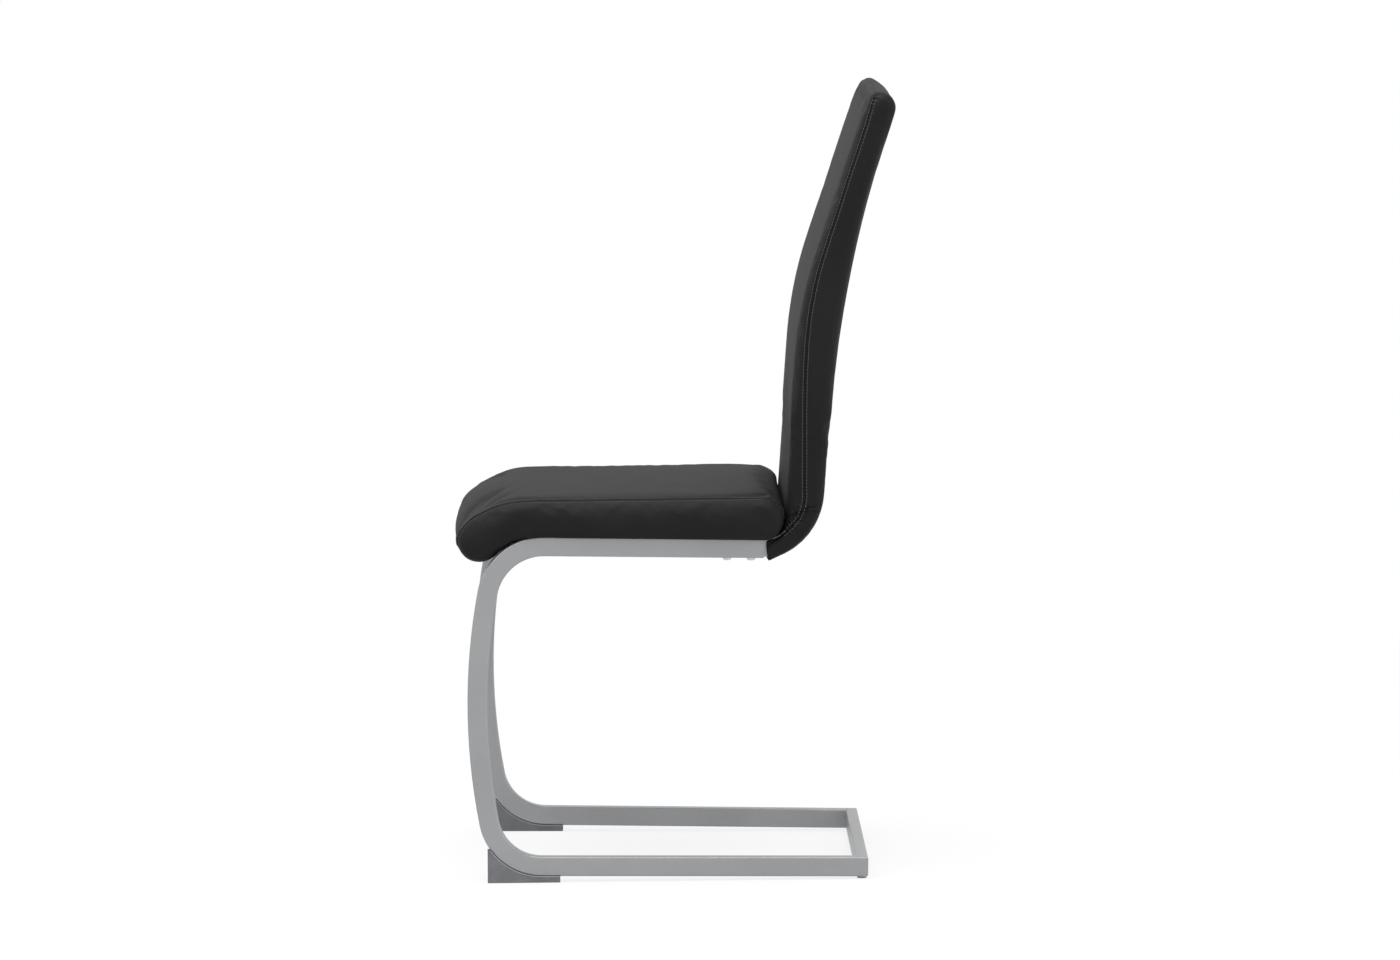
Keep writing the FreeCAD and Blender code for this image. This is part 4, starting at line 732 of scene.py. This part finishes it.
def fromRail(x, u, w):
    y, z = railOrigin + alongRail * u + awayFromRail * w
    return (x * mm, y * mm, z * mm)


def placePoints(x, u, w):
    # the way back from the rails' frame; x is in metres
    yz = railOrigin + np.outer(u, alongRail) + np.outer(w, awayFromRail)
    return np.column_stack([x, yz * mm])


def toRail(points):
    flat = points[:, 1:] / mm - railOrigin
    return flat @ alongRail, flat @ awayFromRail


def crownAt(x, half, crown):
    return crown * (1 - (x / half) ** 2)


def drawnIn(pad, x, inset):
    half = pad["half"] - pad["skin"]
    return [skin + inset * share - crownAt(x, half, crown) for skin, crown, share in pad["sides"]]


def seatOutline(x, inset):
    return roundedOutline(seat["corners"], drawnIn(seat, x, inset))


def tubeHalfSpread(y):
    # outer face of a side tube at this y, in mm
    toe = math.tan(math.radians(sideFrame["toe"]))
    return sideFrame["spread"] - (y - sideFrame["frontY"]) * toe + sideFrame["halfTube"]


def clearOfRails(points):
    # lifts what would sink into the rails, and lets the border hang a little beside them
    u, w = toRail(points)
    x = abs(points[:, 0]) / mm
    spread = tubeHalfSpread(points[:, 1] / mm)
    over = 1 - fade(x, spread, spread + clear["step"])
    floor = -seat["droop"] * (1 - over) + clear["air"] * over
    hung = (1 - over) * (1 - fade(w, *clear["hangsBelow"])) * fade(u, *clear["hangsBehind"])
    w = w - seat["droop"] * hung
    flat = (u > clear["bendEnds"]) & (w < clear["flatBelow"])
    w = np.where(flat, np.maximum(w, floor), w)
    centre = clear["bendCentre"]
    arm = np.stack([u, w], 1) - np.array(centre)
    reach = np.linalg.norm(arm, axis=1)
    bend = ((u <= clear["bendEnds"]) & (w < clear["bendBelow"]) & (arm[:, 1] > 0)
            & (x < spread + clear["bendBeside"]))
    push = np.where(bend & (reach < clear["bendReach"]), clear["bendReach"] / np.maximum(reach, 1), 1.0)
    u = np.where(bend, centre[0] + arm[:, 0] * push, u)
    w = np.where(bend, centre[1] + arm[:, 1] * push, w)
    return placePoints(points[:, 0], u, w)


def clearOfCloth(points):
    # lifts the pad's underside off the dust cloth
    u, w = toRail(points)
    x = abs(points[:, 0]) / mm
    lifted = ((1 - fade(x, *seat["clothHalf"])) * fade(u, *seat["clothFront"])
              * (1 - fade(u, *seat["clothRear"])) * (w < seat["clothBelow"]))
    w = np.where(lifted > 0, w + (seat["clothLift"] - w) * lifted, w)
    return placePoints(points[:, 0], u, w)


def makeSeat():
    def gatherAt(points, which):
        # the leather is pulled tight round the front and the rear ends of the border
        y = points[:, 1] / mm
        return seat["gather"] * np.maximum(1 - fade(y, *seat["gatherFront"]), fade(y, *seat["gatherRear"]))

    piece = paddedMesh("seatPad", seat["half"] - seat["skin"], seat["rounding"], seatOutline, fromRail)
    refine(piece, seat["voxel"])
    paths = bothSides(seat["seam"], seat["seamX"])
    u, w = toRail(readPoints(piece.data))
    resting = (1 - fade(w, *seat["restsBelow"])) * fade(u, *seat["restsBehind"])
    rear = fade(u, *seat["rearHeld"])
    weights = np.maximum(heldAtSeams(piece, paths), np.maximum(resting, rear))
    inflate(piece, np.clip(weights, 0, 1), seat["cap"])
    refine(piece)
    seams = seamsOn(piece, paths)
    sewDown(piece, seams, seat["sewing"], gatherAt)
    writePoints(piece.data, clearOfCloth(clearOfRails(readPoints(piece.data))))
    wear(piece, seatLeather)
    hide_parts("seat_cover", "seat_foam")
    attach(piece, "root")
    return piece, seams


seatPiece, seatSeams = makeSeat()
print("seat pad", len(seatPiece.data.polygons), "faces")


# Backrest, in the side view's own y and z

back = {
    "corners": [(115.2, 406.3, 2.5), (182.4, 423, 92), (206, 751.5, 1450), (281, 989, 18),
                (248.4, 996, 16), (157.5, 725, 560), (136.5, 433, 24),
                (112.4, 433.5, 2.5)],   # (y, z, radius) in mm
    # as in the seat's table
    "sides": [(-0.6, 0.0, 0.3), (-0.7, 0.0, 1.1), (-0.9, 1.0, 1.1), (1.0, 4.6, 0.4),
              (0.4, 2.5, 0.7), (0.2, 2.5, 0.7), (0.0, 0.0, 0.2), (0.0, 0.0, 0.1)],
    "half": 203.0,
    "skin": 1.0,
    "rounding": 16.0,
    "cornerRadius": 12.0,  # mm, at both ends of the top
    "voxel": 5.25,
    "seam": [(134, 441), (153, 457), (162, 480), (162.5, 507), (163, 609), (165, 669), (170, 720),
             (179, 767), (191, 807), (205, 850), (218, 892), (235, 941), (242, 967),
             (246, 988)],   # (y, z) in mm, up the side
    "topSeam": [(201, 247, 992), (196, 248, 995), (184, 250, 997), (0, 252, 998)],   # (x, y, z) in mm
    "fold": [(146, 463), (155, 466), (165, 467)],   # where the side is tucked in behind the seat
    "cap": 2.2,            # mm, how far the air may push the leather out
    "sewing": {"depth": 0.8, "width": 2.5, "swell": 0.9, "pitch": 11, "reach": 12},   # mm
    "stitchesApart": 2.6,
    # pairs in mm between which an effect fades in or out
    "behindSeatZ": (490, 560),    # the part that the seat presses on
    "behindSeatY": (146, 158),
    "tailZ": (425, 620),          # the thin foot, which swells least
    "tailHeld": 0.9,
    "gatherFootZ": (465, 495),
    "gatherTopZ": (960, 980),     # and at the top only in the corners
    "gatherTopX": (165, 185),
    "gatherTop": 0.7,
}


def backOutline(x, inset):
    beyond = max(abs(x) - (back["half"] - back["cornerRadius"]), 0)
    drop = back["cornerRadius"] - math.sqrt(max(back["cornerRadius"] ** 2 - beyond ** 2, 0))
    insets = drawnIn(back, x, inset)
    insets[3] += drop
    return roundedOutline(back["corners"], insets)


def makeBack():
    def gatherAt(points, which):
        # strongest round the foot of the back, and again in the top corners
        x, z = abs(points[:, [0, 2]].T) / mm
        foot = 1 - fade(z, *back["gatherFootZ"])
        top = fade(z, *back["gatherTopZ"]) * fade(x, *back["gatherTopX"])
        return np.maximum(foot, top * back["gatherTop"])

    piece = paddedMesh("backPad", back["half"] - back["skin"], back["rounding"], backOutline, inMetres)
    refine(piece, back["voxel"])
    paths = bothSides(back["seam"], back["half"])
    across = back["topSeam"] + [(-x, y, z) for x, y, z in reversed(back["topSeam"][:-1])]
    paths.append(list(smoothPath(across, 1.0) * mm))
    folds = bothSides(back["fold"], back["half"])
    y, z = readPoints(piece.data).T[1:] / mm
    behindSeat = (1 - fade(z, *back["behindSeatZ"])) * (1 - fade(y, *back["behindSeatY"]))
    tail = 1 - fade(z, *back["tailZ"])
    weights = np.maximum(heldAtSeams(piece, paths), np.maximum(behindSeat, tail * back["tailHeld"]))
    inflate(piece, np.clip(weights, 0, 1), back["cap"])
    refine(piece)
    seams = seamsOn(piece, paths + folds)
    sewDown(piece, seams, back["sewing"], gatherAt)
    wear(piece, backLeather)
    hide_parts("back_cover", "back_front_foam", "back_rear_foam")
    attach(piece, "root")
    return piece, seams[:len(paths)]


backPiece, backSeams = makeBack()
print("backrest", len(backPiece.data.polygons), "faces")


# Top stitching, a row on each side of the seams; the one across the top of the back shows none

stitch = {"spacing": 4.2, "length": 3.4, "width": 0.75, "height": 0.6, "lift": 0.1}

seatRows = stitchRows(seatSeams, surfaceTree(seatPiece.data), seat["stitchesApart"], stitch["lift"])
backRows = stitchRows(backSeams[:2], surfaceTree(backPiece.data), back["stitchesApart"], stitch["lift"])
bitsAlong("seatStitches", seatRows, stitch, seatThread)
bitsAlong("backStitches", backRows, stitch, backThread)
print("stitches sewn")


# Hem at the foot of the back: the folded edge of the leather, with its small point at the front

hem = {
    "corners": [(117.5, 405.4, 0.8), (131, 411.6, 1.0), (130, 414.5, 1.0), (118.5, 410.5, 2.0),
                (116.5, 422, 1.0), (112.6, 422, 1.0), (112.2, 413.5, 1.5)],   # (y, z, radius) in mm
    "half": 197.0,
    "rounding": 2.0,
    "roundingShare": 0.4,  # of the rounding, taken by every side
}


def makeHem():
    def outline(x, inset):
        insets = [inset * hem["roundingShare"]] * len(hem["corners"])
        return roundedOutline(hem["corners"], insets, arcSteps=4, sideSteps=4)

    piece = paddedMesh("tailHem", hem["half"], hem["rounding"], outline, inMetres)
    piece.data.shade_smooth()
    wear(piece, seatLeather)
    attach(piece, "root")


makeHem()


# Feet: the thin lip of the moulding, where it meets the tube, coloured paler than the foot as a painted
# highlight along its edge

lip = {
    "centre": (-168.9, 88.3),    # mm, the lower bend's
    "radius": 80.7,              # mm, 0.2 outside the bend's face
    "top": 41.2,                 # mm above the floor
    "rear": -147.0,              # mm, y of the lip's rear end
    "rearDrop": 0.2,             # mm that this end lies lower than the arc
    "spread": 8.5,               # mm, half the foot's width
    "bead": 0.6,                 # mm, the lip's radius
}


def makeLips():
    data = bpy.data.curves.new("footLips", "CURVE")
    data.dimensions = "3D"
    data.bevel_depth = lip["bead"] * mm
    data.bevel_resolution = 2
    centreY, centreZ = lip["centre"]
    start = math.acos((centreZ - lip["top"]) / lip["radius"])
    arc = [(centreY - lip["radius"] * math.sin(a), centreZ - lip["radius"] * math.cos(a))
           for a in np.linspace(start, 0, 30)] + [(lip["rear"], centreZ - lip["radius"] - lip["rearDrop"])]
    for side in (1, -1):
        for face in (1, -1):
            line = data.splines.new("POLY")
            line.points.add(len(arc) - 1)
            for point, (y, z) in zip(line.points, arc):
                x = side * (tubeHalfSpread(y) - sideFrame["halfTube"] + face * lip["spread"])
                point.co = (x * mm, y * mm, z * mm, 1)
    lines = bpy.data.objects.new("footLipLines", data)
    scene.collection.objects.link(lines)
    mesh = bpy.data.meshes.new_from_object(lines.evaluated_get(bpy.context.evaluated_depsgraph_get()))
    bpy.data.objects.remove(lines)
    piece = bpy.data.objects.new("footLips", mesh)
    scene.collection.objects.link(piece)
    mesh.shade_smooth()
    wear(piece, edgeHighlightPlastic)
    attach(piece, "root")


makeLips()
print("hem and foot lips")


# Weld beads where the cross tube and the flat bars meet the side frames

weld = {"spacing": 1.5, "length": 3.2, "width": 3.6, "height": 2.2,
        "end": 3}   # mm; the last is how far the beads stay from the cross tube's edges


def weldRows():
    # points with the directions that the beads face
    rows = []
    low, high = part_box("rear_cross_tube")
    inner = (tubeHalfSpread(low[1] / mm) - 2 * sideFrame["halfTube"]) * mm
    for side in (1, -1):
        rows.append([((side * inner, low[1], z), (-side * 0.7, -0.7, 0))
                     for z in np.linspace(low[2] + weld["end"] * mm, high[2] - weld["end"] * mm, 15)])
        for bar in ("front_seat_bar", "rear_seat_bar"):
            barLow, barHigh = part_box(bar)
            rows.append([((side * barHigh[0], y, barLow[2] + (barHigh[1] - y) * math.tan(railDown)),
                          (-side * 0.6, 0, -0.8)) for y in np.linspace(barLow[1] + mm, barHigh[1] - mm, 15)])
    return rows


bitsAlong("weldBeads", weldRows(), weld, coat)


# Staples that hold the dust cloth under the seat

staple = {"spacing": 30.0, "length": 9.0, "width": 1.1, "height": 0.9,
          "inset": 6.0, "corner": 22.0, "lift": 0.2}   # mm


def stapleRows():
    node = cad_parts["seat_dust_cover"]
    tree = surfaceTree(node.data)
    low, high = (np.array(corner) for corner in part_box("seat_dust_cover"))
    low += staple["inset"] * mm
    high -= staple["inset"] * mm
    cut = staple["corner"] * mm
    corners = [(low[0] + cut, low[1]), (high[0] - cut, low[1]), (high[0], low[1] + cut),
               (high[0], high[1] - cut), (high[0] - cut, high[1]), (low[0] + cut, high[1]),
               (low[0], high[1] - cut), (low[0], low[1] + cut)]
    rows = []
    for start, end in zip(corners[::2], corners[1::2]):
        row = []
        for share in np.linspace(0, 1, 60):
            x, y = np.array(start) + (np.array(end) - start) * share
            hit, normal = tree.ray_cast(Vector((x, y, 0.2)), Vector((0, 0, 1)))[:2]   # from below the seat
            if hit is not None:
                row.append((np.array(hit) + np.array(normal) * staple["lift"] * mm, normal))
        rows.append(row)
    return rows


bitsAlong("dustClothStaples", stapleRows(), staple, zinc)
print("welds and staples")


# Floor, lamps and world

stage = {
    "floor": "#f4f4f4",
    "floorSpan": ((-60, -40), (12, 40)),   # (x, y) in m of two opposite corners
    "world": 0.62,         # strength of the soft light from all round
    # power in W, width in m and place in m; the third lights the rear edges as in the photograph
    "lamps": {"overheadLamp": (100.0, 3.0, (0.4, -0.3, 3.2)),
              "frontLamp": (28.0, 2.5, (3.5, -2.5, 2.6)),
              "rearLamp": (40.0, 2.5, (2.6, 4.0, 1.6))},
    "aim": (0, 0, 0.5),    # m, where the lamps point
    "whiteNear": 0.7,      # m from the chair, where the floor begins to turn into the white background
    "whiteFar": 2.4,       # m
    "nearShare": 0.8,      # how much of that white the floor has round the chair, which leaves its shadow
}


def backgroundShare(tree):
    # 1 where the camera sees the surface, straight, in a reflection or through glass
    path = addNode(tree, "ShaderNodeLightPath").outputs
    straight = addNode(tree, "ShaderNodeMath", {0: path["Is Camera Ray"], 1: path["Is Glossy Ray"]},
                       operation="MAXIMUM").outputs[0]
    return addNode(tree, "ShaderNodeMath", {0: straight, 1: path["Is Transmission Ray"]},
                   operation="MAXIMUM").outputs[0]


def makeFloor():
    (left, front), (right, rear) = stage["floorSpan"]
    mesh = bpy.data.meshes.new("floor")
    mesh.from_pydata([(left, front, 0), (right, front, 0), (right, rear, 0), (left, rear, 0)],
                     [], [(0, 1, 2, 3)])
    floor = bpy.data.objects.new("floor", mesh)
    scene.collection.objects.link(floor)
    material, tree, shader, place = startMaterial("paleStudioFloor", {
        "Roughness": 0.9, "Specular IOR Level": 0.2, "Base Color": linear(stage["floor"])})
    seen = backgroundShare(tree)
    distance = addNode(tree, "ShaderNodeVectorMath", {0: place}, operation="LENGTH").outputs["Value"]
    white = addNode(tree, "ShaderNodeMapRange", {"Value": distance},
                    {"From Min": stage["whiteNear"], "From Max": stage["whiteFar"],
                     "To Min": stage["nearShare"]},
                    interpolation_type="SMOOTHSTEP").outputs["Result"]
    share = addNode(tree, "ShaderNodeMath", {0: seen, 1: white}, operation="MULTIPLY").outputs[0]
    paper = addNode(tree, "ShaderNodeEmission").outputs["Emission"]
    mixed = addNode(tree, "ShaderNodeMixShader",
                    {0: share, 1: shader.outputs["BSDF"], 2: paper}).outputs["Shader"]
    wire(tree, tree.nodes["Material Output"], {"Surface": mixed})
    mesh.materials.append(material)


def makeWorld():
    world = bpy.data.worlds.new("studio")
    scene.world = world
    world.use_nodes = True
    sky = world.node_tree.nodes["Background"]
    sky.inputs["Color"].default_value = (1, 1, 1, 1)
    level = addNode(world.node_tree, "ShaderNodeMapRange", {"Value": backgroundShare(world.node_tree)},
                    {"To Min": stage["world"], "To Max": 1.0}).outputs["Result"]
    wire(world.node_tree, sky, {"Strength": level})


def makeLamps():
    for name, (power, size, position) in stage["lamps"].items():
        data = bpy.data.lights.new(name, "AREA")
        data.energy = power
        data.size = size
        lamp = bpy.data.objects.new(name, data)
        scene.collection.objects.link(lamp)
        lamp.location = position
        aim = Vector(stage["aim"]) - Vector(position)
        lamp.rotation_euler = aim.to_track_quat("-Z", "Y").to_euler()


makeFloor()
makeWorld()
makeLamps()
scene.view_settings.view_transform = "Standard"
print("stage lit")
